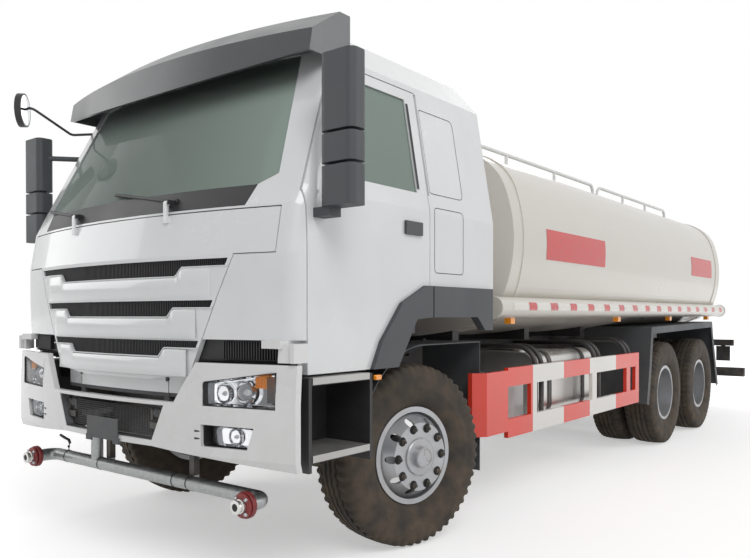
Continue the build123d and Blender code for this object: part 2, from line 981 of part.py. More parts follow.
# Black backing of the grille slots, fixed to the inside of the lid
with BuildPart() as grille_backing:
    add(cab_solid(lid_thick))
    add(cab_solid(lid_thick + grille_back), mode=Mode.SUBTRACT)
    with BuildSketch(cross()) as strips:
        for share, top in zip(bar_half_shares, bar_tops_z):
            with BuildLine():
                Polyline(*bar_points(share, top, bar_slant / 4), close=True)
            make_face()
    extrude(strips.sketch, amount=-nose_y + overrun, mode=Mode.INTERSECT)
finish(grille_backing.part, "grille_backing")

# Doors: panel, glass, mirror and the front half of the wheel arch ride together
door_back = cab_solid(cab_wall - skin_gap, corner_round - cab_wall)
for side, hand in ((1, "left"), (-1, "right")):
    with BuildPart() as door_panel:
        add(cab_outer)
        add(door_back, mode=Mode.SUBTRACT)
        extrude(side_outline(door_points), amount=side * body_half, mode=Mode.INTERSECT)
        extrude(side_outline(window_points), amount=side * body_half, mode=Mode.SUBTRACT)
    finish(door_panel.part, f"door_{hand}")

    with BuildPart() as door_glass:
        add(cab_solid(glass_set))
        add(cab_solid(glass_set + glass_thick), mode=Mode.SUBTRACT)
        extrude(side_outline(window_points, -skin_gap), amount=side * body_half, mode=Mode.INTERSECT)
    finish(door_glass.part, f"door_glass_{hand}")

    with BuildPart() as door_trim:
        extrude(side_outline(arch_points), amount=side * (cab_half + arch_proud))
        block(sorted((side * (cab_half + arch_proud - arch_depth), side * (cab_half + arch_proud))),
              (arch_front_y - overrun, door_rear_y), (door_foot_z - overrun, arch_top_z),
              mode=Mode.INTERSECT)
        block(sorted((side * (cab_half + skin_gap), side * (cab_half + handle_proud))),
              (handle_y, handle_y + handle_length), (handle_z, handle_z + handle_height))
    mirror_heads = [
        # foot, top
        (mirror_split_z + mirror_gap, mirror_top_z),
        (mirror_low_split_z + mirror_gap, mirror_split_z),
        (mirror_foot_z, mirror_low_split_z),
    ]
    with BuildPart() as door_fittings:
        add(door_trim.part)
        for foot, top in mirror_heads:
            with BuildSketch(deck(foot)) as head:
                with Locations(((mirror_inner_x + mirror_reach) / 2 * side,
                                (mirror_front_y + mirror_back_y) / 2)):
                    RectangleRounded(mirror_reach - mirror_inner_x, mirror_back_y - mirror_front_y,
                                     mirror_round)
            extrude(head.sketch, amount=top - foot)
        arm_y = mirror_front_y / 2 + mirror_back_y / 2
        rod((side * mirror_arm_x, arm_y, mirror_foot_z), (side * mirror_arm_x, arm_y, mirror_top_z),
            mirror_arm_radius)
        block(sorted((side * (cab_half - cab_wall), side * (mirror_arm_x + mirror_arm_radius))),
              (arm_y - mirror_bracket, arm_y + mirror_bracket),
              (mirror_foot_z - mirror_bracket, mirror_foot_z))
        rod((side * mirror_arm_x, arm_y, mirror_arm_head_z),
            (side * (gutter_x + mirror_arm_radius), mirror_arm_back_y, mirror_arm_head_z),
            mirror_arm_radius)
        add(door_panel.part, mode=Mode.SUBTRACT)
    finish(door_fittings.part, f"door_fittings_{hand}")

# Rear half of the wheel arch, fixed to the cab
with BuildPart() as cab_arches:
    for side in (-1, 1):
        extrude(side_outline(arch_points), amount=side * (cab_half + arch_proud))
    block((-cab_half - arch_proud, cab_half + arch_proud),
          (door_rear_y + door_rear_gap, arch_rear_y), (0, arch_top_z), mode=Mode.INTERSECT)
    block((-cab_half - arch_proud + arch_depth, cab_half + arch_proud - arch_depth),
          (arch_front_y, arch_rear_y), (0, arch_top_z), mode=Mode.SUBTRACT)
finish(cab_arches.part, "cab_arches")

# Wiper arms and blades, parked across the foot of the glass
with BuildPart() as wipers:
    for pivot_x in (-cowl_half / 2, cowl_half / 2):
        bow = bow_radius - sqrt(bow_radius**2 - pivot_x**2)
        tip_x = pivot_x - wiper_reach
        tip_bow = bow_radius - sqrt(bow_radius**2 - tip_x**2)
        rod((pivot_x, wiper_y + bow, wiper_z), (pivot_x, wiper_y + bow - wiper_lift, wiper_z), wiper_rod * 2)
        rod((pivot_x, wiper_y + bow - wiper_lift, wiper_z),
            (tip_x, wiper_y + tip_bow - wiper_lift + wiper_rise / 2, wiper_z + wiper_rise), wiper_rod)
    add(cab_outer, mode=Mode.SUBTRACT)
    add(cowl.part)
finish(wipers.part, "cowl")

# Round kerb mirror on a bent arm at the right front corner of the cab
with BuildPart() as round_mirror:
    with BuildSketch(Plane(origin=place(-round_mirror_x, round_mirror_y, round_mirror_z),
                           z_dir=(-1, -1, 0))) as dial:
        Circle(round_mirror_radius)
    extrude(dial.sketch, amount=round_mirror_thick / 2, both=True)
    bent_tube([
        (-round_arm_x, round_arm_y, round_arm_z),
        (-gutter_x - corner_round, round_arm_y - corner_round, round_arm_z),
        (-gutter_x - corner_round - round_mirror_thick, round_mirror_y, round_mirror_z),
        (-round_mirror_x, round_mirror_y, round_mirror_z),
    ], round_mirror_thick, mirror_arm_radius / 2)
    add(cab_outer, mode=Mode.SUBTRACT)
    add(sun_visor.part, mode=Mode.SUBTRACT)
finish(round_mirror.part, "round_mirror")

# Dashboard across the cab, with the hood over the dials and the steering column
steering_lean = radians(steering_tilt)
column_dir = (0, cos(steering_lean), sin(steering_lean))
steering_plane = Plane(origin=place(seat_x, steering_y, steering_z), x_dir=(1, 0, 0), z_dir=column_dir)
with BuildPart() as dashboard:
    plate(flank(), [
        (nose_y, dash_foot_z),
        (dash_back_y - dash_nose, dash_foot_z),
        (dash_back_y, dash_top_z - dash_nose),
        (dash_back_y - dash_nose / 2, dash_top_z),
        (nose_y, dash_top_z + dash_nose / 2),
    ], cab_half, both=True)
    plate(flank(seat_x), [
        (dash_back_y - dash_nose / 2, dash_top_z),
        (dash_back_y - dash_nose / 4, dash_brow_z),
        (dash_back_y - 3 * dash_nose, dash_top_z - dash_nose / 3),
    ], seat_half, both=True)
    add(cab_inner, mode=Mode.INTERSECT)
    add(bulkhead.part, mode=Mode.SUBTRACT)
    block((-cab_half, -cab_half + cab_wall + 2 * door_gap + dash_end), (door_front_y - cab_wall, 0),
          (0, gutter_z), mode=Mode.SUBTRACT)
    block((cab_half - cab_wall - 2 * door_gap - dash_end, cab_half), (door_front_y - cab_wall, 0),
          (0, gutter_z), mode=Mode.SUBTRACT)
    block((-tunnel_half, tunnel_half), (tunnel_front_y, 0), (0, tunnel_top_z + tunnel_wall),
          mode=Mode.SUBTRACT)
    with BuildSketch(steering_plane.offset(-steering_hub / 2 - skin_gap)) as tube:
        Circle(column_radius)
    extrude(tube.sketch, amount=-column_length)
    add(seals.part, mode=Mode.SUBTRACT)
finish(dashboard.part, "dashboard")

# Two seats on the floor's pedestals, and the bunk behind them
with BuildPart() as seats:
    for side in (-1, 1):
        with BuildSketch(deck(seat_base_z)) as cushion:
            with Locations((side * seat_x, (seat_front_y + seat_back_y) / 2)):
                RectangleRounded(2 * seat_half, seat_back_y - seat_front_y, cushion_thick / 2)
        extrude(cushion.sketch, amount=cushion_thick)
        plate(flank(side * seat_x), [
            (seat_back_y - cushion_thick, seat_base_z + cushion_thick),
            (seat_back_y, seat_base_z + cushion_thick),
            (seat_back_y + backrest_lean, seat_base_z + backrest_height),
            (seat_back_y + backrest_lean - cushion_thick, seat_base_z + backrest_height),
        ], seat_half, both=True, rounding=cushion_thick / 4)
    block((-cab_half + cab_wall + door_gap, cab_half - cab_wall - door_gap),
          (berth_front_y, cab_back_y - cab_wall - skin_gap),
          (berth_floor_z + floor_thick, berth_floor_z + floor_thick + berth_thick))
finish(seats.part, "seats")

# Steering wheel, on its column
with BuildPart() as steering_wheel:
    with BuildSketch(Plane(origin=steering_plane.origin, x_dir=(1, 0, 0),
                           z_dir=steering_plane.y_dir)) as rim_section:
        with Locations((steering_radius, 0)):
            Circle(steering_rim)
    revolve(rim_section.sketch, axis=Axis(steering_plane.origin, steering_plane.z_dir))
    with BuildSketch(steering_plane.offset(-steering_hub / 2)) as hub:
        Circle(steering_hub)
    extrude(hub.sketch, amount=steering_hub)
    with BuildSketch(steering_plane.offset(-steering_rim / 2)) as spokes:
        with PolarLocations(steering_radius / 2, 4, start_angle=steering_rim):
            Rectangle(steering_radius, 2 * steering_rim)
    extrude(spokes.sketch, amount=steering_rim)
finish(steering_wheel.part, "steering_wheel")

# Front bumper: a bowed shell with an air intake, lamp pockets and a recessed step panel
bumper_y = nose_y - bumper_lead
bumper_profile = [
    (bumper_y + bumper_wall / 3, bumper_foot_z),
    (bumper_y, (bumper_foot_z + intake_foot_z) / 2),
    (bumper_y, intake_top_z + bumper_lead),
    (bumper_y + bumper_wall / 2, bumper_side_top_z),
]
lamp_points = [
    (lamp_inner_x, lamp_foot_z),
    (lamp_inner_x, lamp_inner_top_z),
    (lamp_outer_x, lamp_outer_top_z),
    (lamp_outer_x, lamp_foot_z),
]
fog_points = [
    (fog_inner_x, fog_foot_z),
    (fog_inner_x, fog_top_z),
    (fog_outer_x, fog_top_z),
    (fog_outer_x - (fog_top_z - fog_foot_z) / 3, fog_foot_z),
]
intake_points = mirrored([(intake_foot_half, intake_foot_z), (intake_top_half, intake_top_z)])


def bumper_ring(near, far):
    """Bowed band that lies between two depths behind the bumper's face."""
    face = [(y + near, z) for y, z in bumper_profile]
    back = [(y + far, z) for y, z in reversed(bumper_profile)]
    bowed(face + back)


def lamp_openings(grow):
    """Outlines of the four front lamps, as one sketch across the truck."""
    with BuildSketch(cross()) as openings:
        for points in (lamp_points, fog_points):
            for side in (-1, 1):
                with BuildLine():
                    Polyline(*[(side * x, z) for x, z in points], close=True)
                make_face()
        if grow:
            offset(amount=grow, kind=Kind.INTERSECTION)
    return openings.sketch


with BuildPart() as bumper_shell:
    bumper_ring(0, bumper_wall)
    with BuildSketch(cross()) as bumper_front:
        with BuildLine():
            Polyline(*mirrored([
                (intake_foot_half, bumper_mid_foot_z),
                (body_half, bumper_foot_z),
                (body_half, bumper_corner_z),
                (shoulder_half, bumper_corner_z),
                (lip_half, lip_z),
            ]), close=True)
        make_face()
    extrude(bumper_front.sketch, amount=-nose_y + overrun + bumper_lead, mode=Mode.INTERSECT)
with BuildPart() as bumper_ledge:
    bowed([
        (bumper_y + bumper_wall / 2, intake_top_z),
        (bumper_y + bumper_wall / 2, lip_z - ledge_drop),
        (step_panel_y + step_panel_thick, lip_z - ledge_drop),
        (step_panel_y + step_panel_thick, intake_top_z),
    ])
    block((-ledge_half, ledge_half), (bumper_y, door_front_y), (0, lip_z), mode=Mode.INTERSECT)
with BuildPart() as front_bumper:
    add(bumper_shell.part)
    for side in (-1, 1):
        block(sorted((side * (frame_half - frame_flange), side * frame_half)),
              (nose_y, frame_front_y), (frame_foot_z, frame_foot_z + bumper_arm))
    extrude(front_outline(intake_points), amount=-bumper_y + overrun, mode=Mode.SUBTRACT)
    for side in (-1, 1):
        block(sorted((side * (frame_half - frame_flange), side * (intake_top_half + bumper_arm))),
              (nose_y, nose_y + bumper_lead), (frame_foot_z, frame_foot_z + bumper_arm))
        block(sorted((side * (frame_half - frame_flange), side * frame_half)),
              (nose_y, frame_front_y), (frame_foot_z, frame_foot_z + bumper_arm))
    add(bumper_ledge.part)
    extrude(lamp_openings(0), amount=-bumper_y + overrun, mode=Mode.SUBTRACT)
    block((-plate_bracket_half, plate_bracket_half), (-front_reach, -front_reach + front_plate_thick),
          (plate_bracket_foot_z, plate_bracket_top_z))
    block((-plate_bracket_half, plate_bracket_half), (-front_reach, bumper_y + bumper_wall / 2),
          (plate_bracket_foot_z + seam, intake_foot_z - seam))
finish(front_bumper.part, "front_bumper")

# Lower corner pieces of the cab, beside the bumper's corners
with BuildPart() as cab_corners:
    bumper_ring(0, bumper_wall)
    for side in (-1, 1):
        block(sorted((side * (body_half - bumper_side_wall), side * body_half)),
              (nose_y + corner_round + bumper_wall, bumper_back_y), (corner_piece_z, bumper_side_top_z))
    with BuildSketch(cross()) as corner_front:
        for side in (-1, 1):
            with BuildLine():
                Polyline(*[(side * x, z) for x, z in (
                    (bumper_corner_x, corner_piece_z), (bumper_corner_x, bumper_side_top_z),
                    (body_half, bumper_side_top_z), (body_half, corner_piece_z))], close=True)
            make_face()
    extrude(corner_front.sketch, amount=-nose_y + overrun + bumper_lead, mode=Mode.INTERSECT)
    for side in (-1, 1):
        block(sorted((side * (bumper_corner_x - bumper_side), side * (cab_half - cab_wall))),
              (nose_y + corner_round + bumper_wall / 2, door_front_y - door_gap),
              (bumper_side_top_z - bumper_side_wall, cab_foot_z))
    add(cab_shell.part, mode=Mode.SUBTRACT)
finish(cab_corners.part, "cab_corners")
with BuildPart() as front_lamps:
    bumper_ring(lamp_set, lamp_set + lamp_thick)
    extrude(lamp_openings(-skin_gap), amount=-bumper_y + overrun, mode=Mode.INTERSECT)
finish(front_lamps.part, "front_lamps")

# Steps under the doors: a box with two treads on each side
with BuildPart() as cab_steps:
    for side in (-1, 1):
        span = sorted((side * step_inner_x, side * step_outer_x))
        block(span, (step_front_y, step_back_y), (step_top_z - step_tread, step_top_z))
        block(span, (step_front_y, step_back_y), (step_low_z - step_tread, step_low_z))
        block(span, (step_front_y, step_front_y + step_side), (step_foot_z, step_top_z))
        block(span, (step_back_y - step_side, step_back_y), (step_foot_z, step_top_z))
        block(sorted((side * step_inner_x, side * (step_inner_x + step_side))),
              (step_front_y, step_back_y), (step_foot_z, step_top_z))
        block(sorted((side * frame_half, side * step_inner_x)),
              (step_front_y + step_side, step_front_y + 2 * step_side + step_tread),
              (step_top_z - 3 * step_tread, step_top_z - step_tread))
finish(cab_steps.part, "cab_steps")

# Frame: two channel rails joined by cross members
cross_stations = [-940, 900, 2100, 3350, 5275, 6750, 8190]
with BuildPart() as frame:
    for side in (-1, 1):
        plate(cross(frame_front_y), [
            (side * frame_half, frame_foot_z),
            (side * frame_half, frame_top_z),
            (side * (frame_half - frame_flange), frame_top_z),
            (side * (frame_half - frame_flange), frame_top_z - frame_web),
            (side * (frame_half - frame_web), frame_top_z - frame_web),
            (side * (frame_half - frame_web), frame_foot_z + frame_web),
            (side * (frame_half - frame_flange), frame_foot_z + frame_web),
            (side * (frame_half - frame_flange), frame_foot_z),
        ], frame_front_y - frame_rear_y)
    for station in cross_stations:
        block((-frame_half + frame_web, frame_half - frame_web),
              (station - frame_flange / 2, station + frame_flange / 2),
              (frame_top_z - frame_flange - frame_web, frame_top_z - frame_web))
    for side in (-1, 1):
        for ear_x in (frame_half - frame_flange, frame_half - tilt_ear):
            plate(flank(side * ear_x if side > 0 else side * (ear_x + tilt_ear)), [
                (frame_front_y + frame_flange, tilt_z - tilt_boss),
                (tilt_y - tilt_boss, tilt_z - tilt_boss),
                (tilt_y - tilt_boss, tilt_z + tilt_boss / 2),
                (tilt_y + tilt_boss / 2, tilt_z + tilt_boss),
                (frame_front_y, frame_top_z),
                (frame_front_y + frame_flange, frame_top_z),
            ], tilt_ear)
        rod((side * (frame_half - frame_flange), tilt_y, tilt_z), (side * frame_half, tilt_y, tilt_z),
            tilt_pin)
        block(sorted((side * (frame_half - frame_flange), side * frame_half)),
              (rest_y - rest_half, rest_y + rest_half),
              (frame_top_z, berth_floor_z - rest_height - skin_gap))
finish(frame.part, "frame")

# Engine and gearbox as plain masses between the rails, and the radiator in front
with BuildPart() as engine:
    block((-engine_half, engine_half), (engine_front_y, engine_back_y), (engine_foot_z, engine_top_z))
    block((-gearbox_half, gearbox_half), (engine_back_y, gearbox_back_y), (engine_foot_z, gearbox_top_z))
    block((-frame_half + frame_web, frame_half - frame_web),
          (engine_front_y + frame_flange, engine_front_y + 2 * frame_flange),
          (frame_foot_z + 2 * frame_web, frame_top_z - 2 * frame_web))
    for station in cross_stations:
        block((-frame_half, frame_half),
              (station - frame_flange / 2 - seam, station + frame_flange / 2 + seam),
              (frame_top_z - frame_flange - frame_web - seam, frame_top_z), mode=Mode.SUBTRACT)
finish(engine.part, "engine")
with BuildPart() as radiator:
    block((-radiator_half, radiator_half), (radiator_front_y, radiator_front_y + radiator_thick),
          (frame_top_z, radiator_top_z))
    block((-frame_half + frame_flange + seam, frame_half - frame_flange - seam),
          (radiator_front_y, radiator_front_y + radiator_thick / 2),
          (radiator_foot_z, frame_top_z))
finish(radiator.part, "radiator")

# Wheels: each tyre pair and rim turns about its own axle line
steer = radians(-steer_rest)
axle_z = tyre_radius


def wheel_frame(kind, side, station):
    """Centre of a wheel and the direction that its outer face looks in."""
    if kind == "front":
        outward = (side * cos(steer), side * sin(steer), 0)
        reach = front_wheel_x - kingpin_x
        centre = place(side * kingpin_x + outward[0] * reach, station + outward[1] * reach, axle_z)
        return centre, outward
    return place(side * twin_wheel_x, station, axle_z), (side, 0, 0)


def turned(centre, outward, outlines):
    """Outlines of (radius, offset) points, revolved about the wheel's axis."""
    radial = Plane(origin=centre, x_dir=(0, 0, 1), z_dir=(-outward[1], outward[0], 0))
    with BuildSketch(radial) as section:
        for points in outlines:
            with BuildLine():
                Polyline(*points, close=True)
            make_face()
    revolve(section.sketch, axis=Axis(centre, outward))


bead_half = rim_width / 2 - rim_sheet - skin_gap
tyre_depth = tyre_radius - bead_radius
tyre_shares = [
    # radius as a share of the tyre's depth, offset as a share of its width
    (0.2, 0.46),
    (0.5, 0.5),
    (0.8, 0.485),
    (0.94, 0.445),
    (1, 0.38),
]


def tyre_outline(middle):
    half = [(bead_radius, bead_half), (rim_lip_radius + skin_gap, bead_half)]
    half += [(bead_radius + depth * tyre_depth, width * tyre_width) for depth, width in tyre_shares]
    return [(r, middle + w) for r, w in half] + [(r, middle - w) for r, w in reversed(half)]


def rim_outline(middle, turn):
    """Barrel, flanges and dished disc; turn is 1 where the disc stands outward."""
    edge = rim_width / 2
    seat = bead_radius - skin_gap
    well = seat - rim_sheet
    face = disc_offset
    points = [
        (rim_lip_radius, edge), (rim_lip_radius, edge - rim_sheet),
        (seat, edge - rim_sheet), (seat, rim_sheet - edge),
        (rim_lip_radius, rim_sheet - edge), (rim_lip_radius, -edge),
        (well, -edge), (well, disc_root - rim_sheet),
        (disc_knee, face - rim_sheet), (hub_radius, face - rim_sheet),
        (hub_radius, face), (disc_knee + rim_sheet / 2, face),
        (well, disc_root + rim_sheet), (well, edge),
    ]
    return [(r, middle + turn * w) for r, w in points]


wheels = [
    # name, kind, side, station
    ("front_left", "front", 1, 0),
    ("front_right", "front", -1, 0),
    ("middle_left", "twin", 1, wheelbase),
    ("middle_right", "twin", -1, wheelbase),
    ("rear_left", "twin", 1, wheelbase + bogie_spacing),
    ("rear_right", "twin", -1, wheelbase + bogie_spacing),
]
for name, kind, side, station in wheels:
    centre, outward = wheel_frame(kind, side, station)
    middles = [0] if kind == "front" else [-twin_gap / 2, twin_gap / 2]
    turns = [1] if kind == "front" else [1, -1]
    with BuildPart() as tyre:
        for middle in middles:
            turned(centre, outward, [tyre_outline(middle)])
    finish(tyre.part, f"tyre_{name}")

    bore = spindle_radius + fit_gap
    cap = disc_offset + hub_proud if kind == "front" else hub_reach
    root = -drum_gap if kind == "front" else -hub_depth
    hub_outline = [
        (0, cap), (hub_cap_radius, cap), (hub_cap_radius, cap - hub_cap), (hub_radius, cap - hub_cap),
        (hub_radius, root), (bore, root), (bore, root + spindle_length), (0, root + spindle_length),
    ]
    with BuildPart() as rim:
        turned(centre, outward, [rim_outline(m, t) for m, t in zip(middles, turns)])
        turned(centre, outward, [hub_outline])
        with BuildSketch(Plane(origin=centre, z_dir=outward)) as holes:
            with PolarLocations(hand_hole_circle, hand_holes):
                Circle(hand_hole_radius)
        extrude(holes.sketch, amount=disc_offset + rim_width, both=True, mode=Mode.SUBTRACT)
    finish(rim.part, f"rim_{name}")

# Front axle beam with an eye at each end for the kingpin
with BuildPart() as front_axle:
    plate(cross(beam_width / 2), [
        (-kingpin_x, axle_z + beam_depth / 2), (-beam_drop_x, beam_z + beam_depth / 2),
        (beam_drop_x, beam_z + beam_depth / 2), (kingpin_x, axle_z + beam_depth / 2),
        (kingpin_x, axle_z - beam_depth / 2), (beam_drop_x, beam_z - beam_depth / 2),
        (-beam_drop_x, beam_z - beam_depth / 2), (-kingpin_x, axle_z - beam_depth / 2),
    ], beam_width)
    for side in (-1, 1):
        with BuildSketch(deck(axle_z - knuckle_eye_height)) as clear:
            with Locations((side * kingpin_x, 0)):
                Circle(knuckle_eye + seam)
        extrude(clear.sketch, amount=2 * knuckle_eye_height, mode=Mode.SUBTRACT)
        with BuildSketch(deck(beam_z)) as arm_clear:
            with Locations((side * kingpin_x, 0)):
                Circle(steer_relief)
        extrude(arm_clear.sketch, amount=steer_arm_z + yoke_thick + seam - beam_z, mode=Mode.SUBTRACT)
    for side in (-1, 1):
        block(sorted((side * kingpin_x, side * (kingpin_x - knuckle_eye - 2 * seam))),
              (-knuckle_eye / 2, knuckle_eye / 2),
              (axle_z - knuckle_eye_height / 3, axle_z + knuckle_eye_height / 3))
        with BuildSketch(deck(axle_z - knuckle_eye_height / 2)) as eye:
            with Locations((side * kingpin_x, 0)):
                Circle(knuckle_eye)
        extrude(eye.sketch, amount=knuckle_eye_height)
    for side in (-1, 1):
        with BuildSketch(deck(0)) as bore:
            with Locations((side * kingpin_x, 0)):
                Circle(kingpin_radius + fit_gap)
        extrude(bore.sketch, amount=2 * axle_z, mode=Mode.SUBTRACT)
finish(front_axle.part, "front_axle")

# Knuckles: a forked yoke over the beam's eye, with kingpin, spindle, drum and steering arm
for side, hand in ((1, "left"), (-1, "right")):
    centre, outward = wheel_frame("front", side, 0)
    pin = Vector(*place(side * kingpin_x, 0, axle_z))
    out = Vector(*outward)
    back = Vector(-sin(steer), cos(steer), 0)
    yoke = Plane(origin=pin, x_dir=out, z_dir=(0, 0, 1))
    reach = front_wheel_x - kingpin_x
    with BuildPart() as knuckle:
        half_eye = knuckle_eye_height / 2 + yoke_gap
        for level in (half_eye, -half_eye - yoke_thick):
            with BuildSketch(yoke.offset(level)) as lug:
                Circle(knuckle_eye)
                with Locations(((knuckle_eye + 2 * seam + yoke_thick) / 2, 0)):
                    Rectangle(knuckle_eye + 2 * seam + yoke_thick, 2 * knuckle_eye)
            extrude(lug.sketch, amount=yoke_thick)
        with BuildSketch(yoke.offset(-half_eye)) as web:
            with Locations((knuckle_eye + 2 * seam + yoke_thick / 2, 0)):
                Rectangle(yoke_thick, 2 * knuckle_eye)
        extrude(web.sketch, amount=2 * half_eye)
        with BuildSketch(yoke.offset(-half_eye)) as kingpin:
            Circle(kingpin_radius)
        extrude(kingpin.sketch, amount=2 * half_eye)
        web_end = knuckle_eye + 2 * seam
        spindle_end = reach - drum_gap + spindle_length - fit_gap
        with BuildSketch(Plane(origin=pin + out * web_end, z_dir=outward)) as spindle:
            Circle(spindle_radius)
        extrude(spindle.sketch, amount=spindle_end - web_end)
        arm_sketch = Plane(origin=Vector(pin.X, pin.Y, steer_arm_z), x_dir=out, z_dir=(0, 0, 1))
        with BuildSketch(arm_sketch) as arm:
            with Locations((0, steer_arm / 2)):
                Rectangle(2 * tie_eye_radius, steer_arm)
            with Locations((0, steer_arm)):
                Circle(tie_eye_radius)
        extrude(arm.sketch, amount=yoke_thick)
        with BuildSketch(arm_sketch) as foot:
            Circle(knuckle_eye)
        extrude(foot.sketch, amount=axle_z - half_eye - steer_arm_z)
        with BuildSketch(arm_sketch.offset(-tie_pin_length)) as ball_pin:
            with Locations((0, steer_arm)):
                Circle(tie_pin_radius)
        extrude(ball_pin.sketch, amount=tie_pin_length)
    finish(knuckle.part, f"knuckle_{hand}")

# Tie rod between the two steering arms, parallel to the beam
tie_x = kingpin_x
tie_shift = -sin(steer) * steer_arm
tie_y = cos(steer) * steer_arm
with BuildPart() as tie_rod:
    rod_z = steer_arm_z - fit_gap - tie_eye_radius
    rod((-tie_x + tie_shift, tie_y, rod_z), (tie_x + tie_shift, tie_y, rod_z), tie_rod_radius)
    for side in (-1, 1):
        with BuildSketch(deck(rod_z - tie_eye_radius)) as eye:
            with Locations((side * tie_x + tie_shift, tie_y)):
                Circle(tie_eye_radius)
        extrude(eye.sketch, amount=2 * tie_eye_radius)
    for side in (-1, 1):
        with BuildSketch(deck(rod_z - 2 * tie_eye_radius)) as bore:
            with Locations((side * tie_x + tie_shift, tie_y)):
                Circle(tie_pin_radius + fit_gap)
        extrude(bore.sketch, amount=4 * tie_eye_radius, mode=Mode.SUBTRACT)
finish(tie_rod.part, "tie_rod")


def leaf_pack(x, width, station, seat, half, camber, shares):
    """Leaf spring: stacked arcs, the first share's leaf on the outside of the bend."""
    radius = half**2 / (2 * abs(camber))
    turn = 1 if camber > 0 else -1
    for level, share in enumerate(shares):
        reach = half * share
        base = seat - turn * level * leaf_thick
        far = radius + level * leaf_thick
        near = far - leaf_thick
        with BuildSketch(flank(x)) as leaf:
            with BuildLine():
                low_end = (station + reach, base + turn * (far - sqrt(far**2 - reach**2)))
                top_end = (station + reach, base + turn * (leaf_thick + near - sqrt(near**2 - reach**2)))
                low_start = (station - reach, low_end[1])
                top_start = (station - reach, top_end[1])
                ThreePointArc(low_start, (station, base), low_end)
                Line(low_end, top_end)
                ThreePointArc(top_end, (station, base + turn * leaf_thick), top_start)
                Line(top_start, low_start)
            make_face()
        extrude(leaf.sketch, amount=width / 2, both=True)


# Springs, with the hangers of the front packs and the seats of the rear ones
bogie_y = wheelbase + bogie_spacing / 2
beam_top_z = beam_z + beam_depth / 2
front_main_z = beam_top_z + spring_pad + leaf_thick * (len(front_spring_leaf_shares) - 1)
rear_main_z = axle_z + axle_tube_radius + rear_spring_camber
with BuildPart() as springs:
    for side in (-1, 1):
        leaf_pack(side * spring_x, leaf_width, 0, front_main_z, front_spring_half, front_spring_camber,
                  front_spring_leaf_shares)
        span = (side * spring_x - leaf_width / 2, side * spring_x + leaf_width / 2)
        block(span, (-beam_width / 2, beam_width / 2), (beam_top_z, front_main_z + 2 * leaf_thick))
        for end in (-1, 1):
            block(span, sorted((end * (front_spring_half - hanger), end * front_spring_half)),
                  (front_main_z + front_spring_camber / 2, frame_foot_z))
        leaf_pack(side * rear_spring_x, rear_leaf_width, bogie_y, rear_main_z, bogie_spacing / 2 + hanger,
                  -rear_spring_camber, rear_spring_leaf_shares)
        span = (side * rear_spring_x - rear_leaf_width / 2, side * rear_spring_x + rear_leaf_width / 2)
        block(span, (bogie_y - hanger, bogie_y + hanger), (axle_z, rear_main_z + 3 * leaf_thick))
        rod((side * (frame_half - frame_flange), bogie_y, axle_z),
            (side * (rear_spring_x + rear_leaf_width / 2), bogie_y, axle_z), trunnion_radius)
        block(sorted((side * (frame_half - frame_flange), side * frame_half)),
              (bogie_y - 2 * hanger, bogie_y + 2 * hanger), (axle_z, frame_foot_z))
    for station in (wheelbase, wheelbase + bogie_spacing):
        rod((-body_half, station, axle_z), (body_half, station, axle_z), axle_tube_radius,
            mode=Mode.SUBTRACT)
finish(springs.part, "springs")

# Rear axles, with their drums and stub ends, and the shafts that drive them
with BuildPart() as drive_axles:
    for station in (wheelbase, wheelbase + bogie_spacing):
        hub_foot = twin_wheel_x - hub_depth
        rod((seam - hub_foot, station, axle_z), (hub_foot - seam, station, axle_z), axle_tube_radius)
        rod((0, station - banjo_length / 2, axle_z), (0, station + banjo_length / 2, axle_z), banjo_radius)
        for side in (-1, 1):
            rod((side * (hub_foot - seam - drum_length), station, axle_z),
                (side * (hub_foot - seam), station, axle_z), drum_radius)
            rod((side * (hub_foot - drum_length), station, axle_z),
                (side * (hub_foot + spindle_length - fit_gap), station, axle_z), spindle_radius)
    rod((0, gearbox_back_y, shaft_start_z), (0, wheelbase, axle_z + shaft_radius), shaft_radius)
    rod((0, wheelbase, axle_z), (0, wheelbase + bogie_spacing, axle_z), shaft_radius)
    add(engine.part, mode=Mode.SUBTRACT)
finish(drive_axles.part, "drive_axles")


# Tank: rounded oblong section with dished ends, rims round the ends and two manhole necks
def tank_section(plane, grow=0):
    """Section of the tank across the truck, made larger all round by the given amount."""
    half = tank_half + grow
    corner_x = half * tank_corner_share
    high = tank_middle_z + tank_corner_top + grow
    low = tank_middle_z - tank_corner_foot - grow
    with BuildSketch(plane) as section:
        with BuildLine():
            ThreePointArc((corner_x, low), (half, tank_middle_z), (corner_x, high))
            ThreePointArc((corner_x, high), (0, tank_top_z + grow), (-corner_x, high))
            ThreePointArc((-corner_x, high), (-half, tank_middle_z), (-corner_x, low))
            ThreePointArc((-corner_x, low), (0, tank_foot_z - grow), (corner_x, low))
        make_face()
        fillet(section.vertices(), tank_corner_round)
    return section.sketch


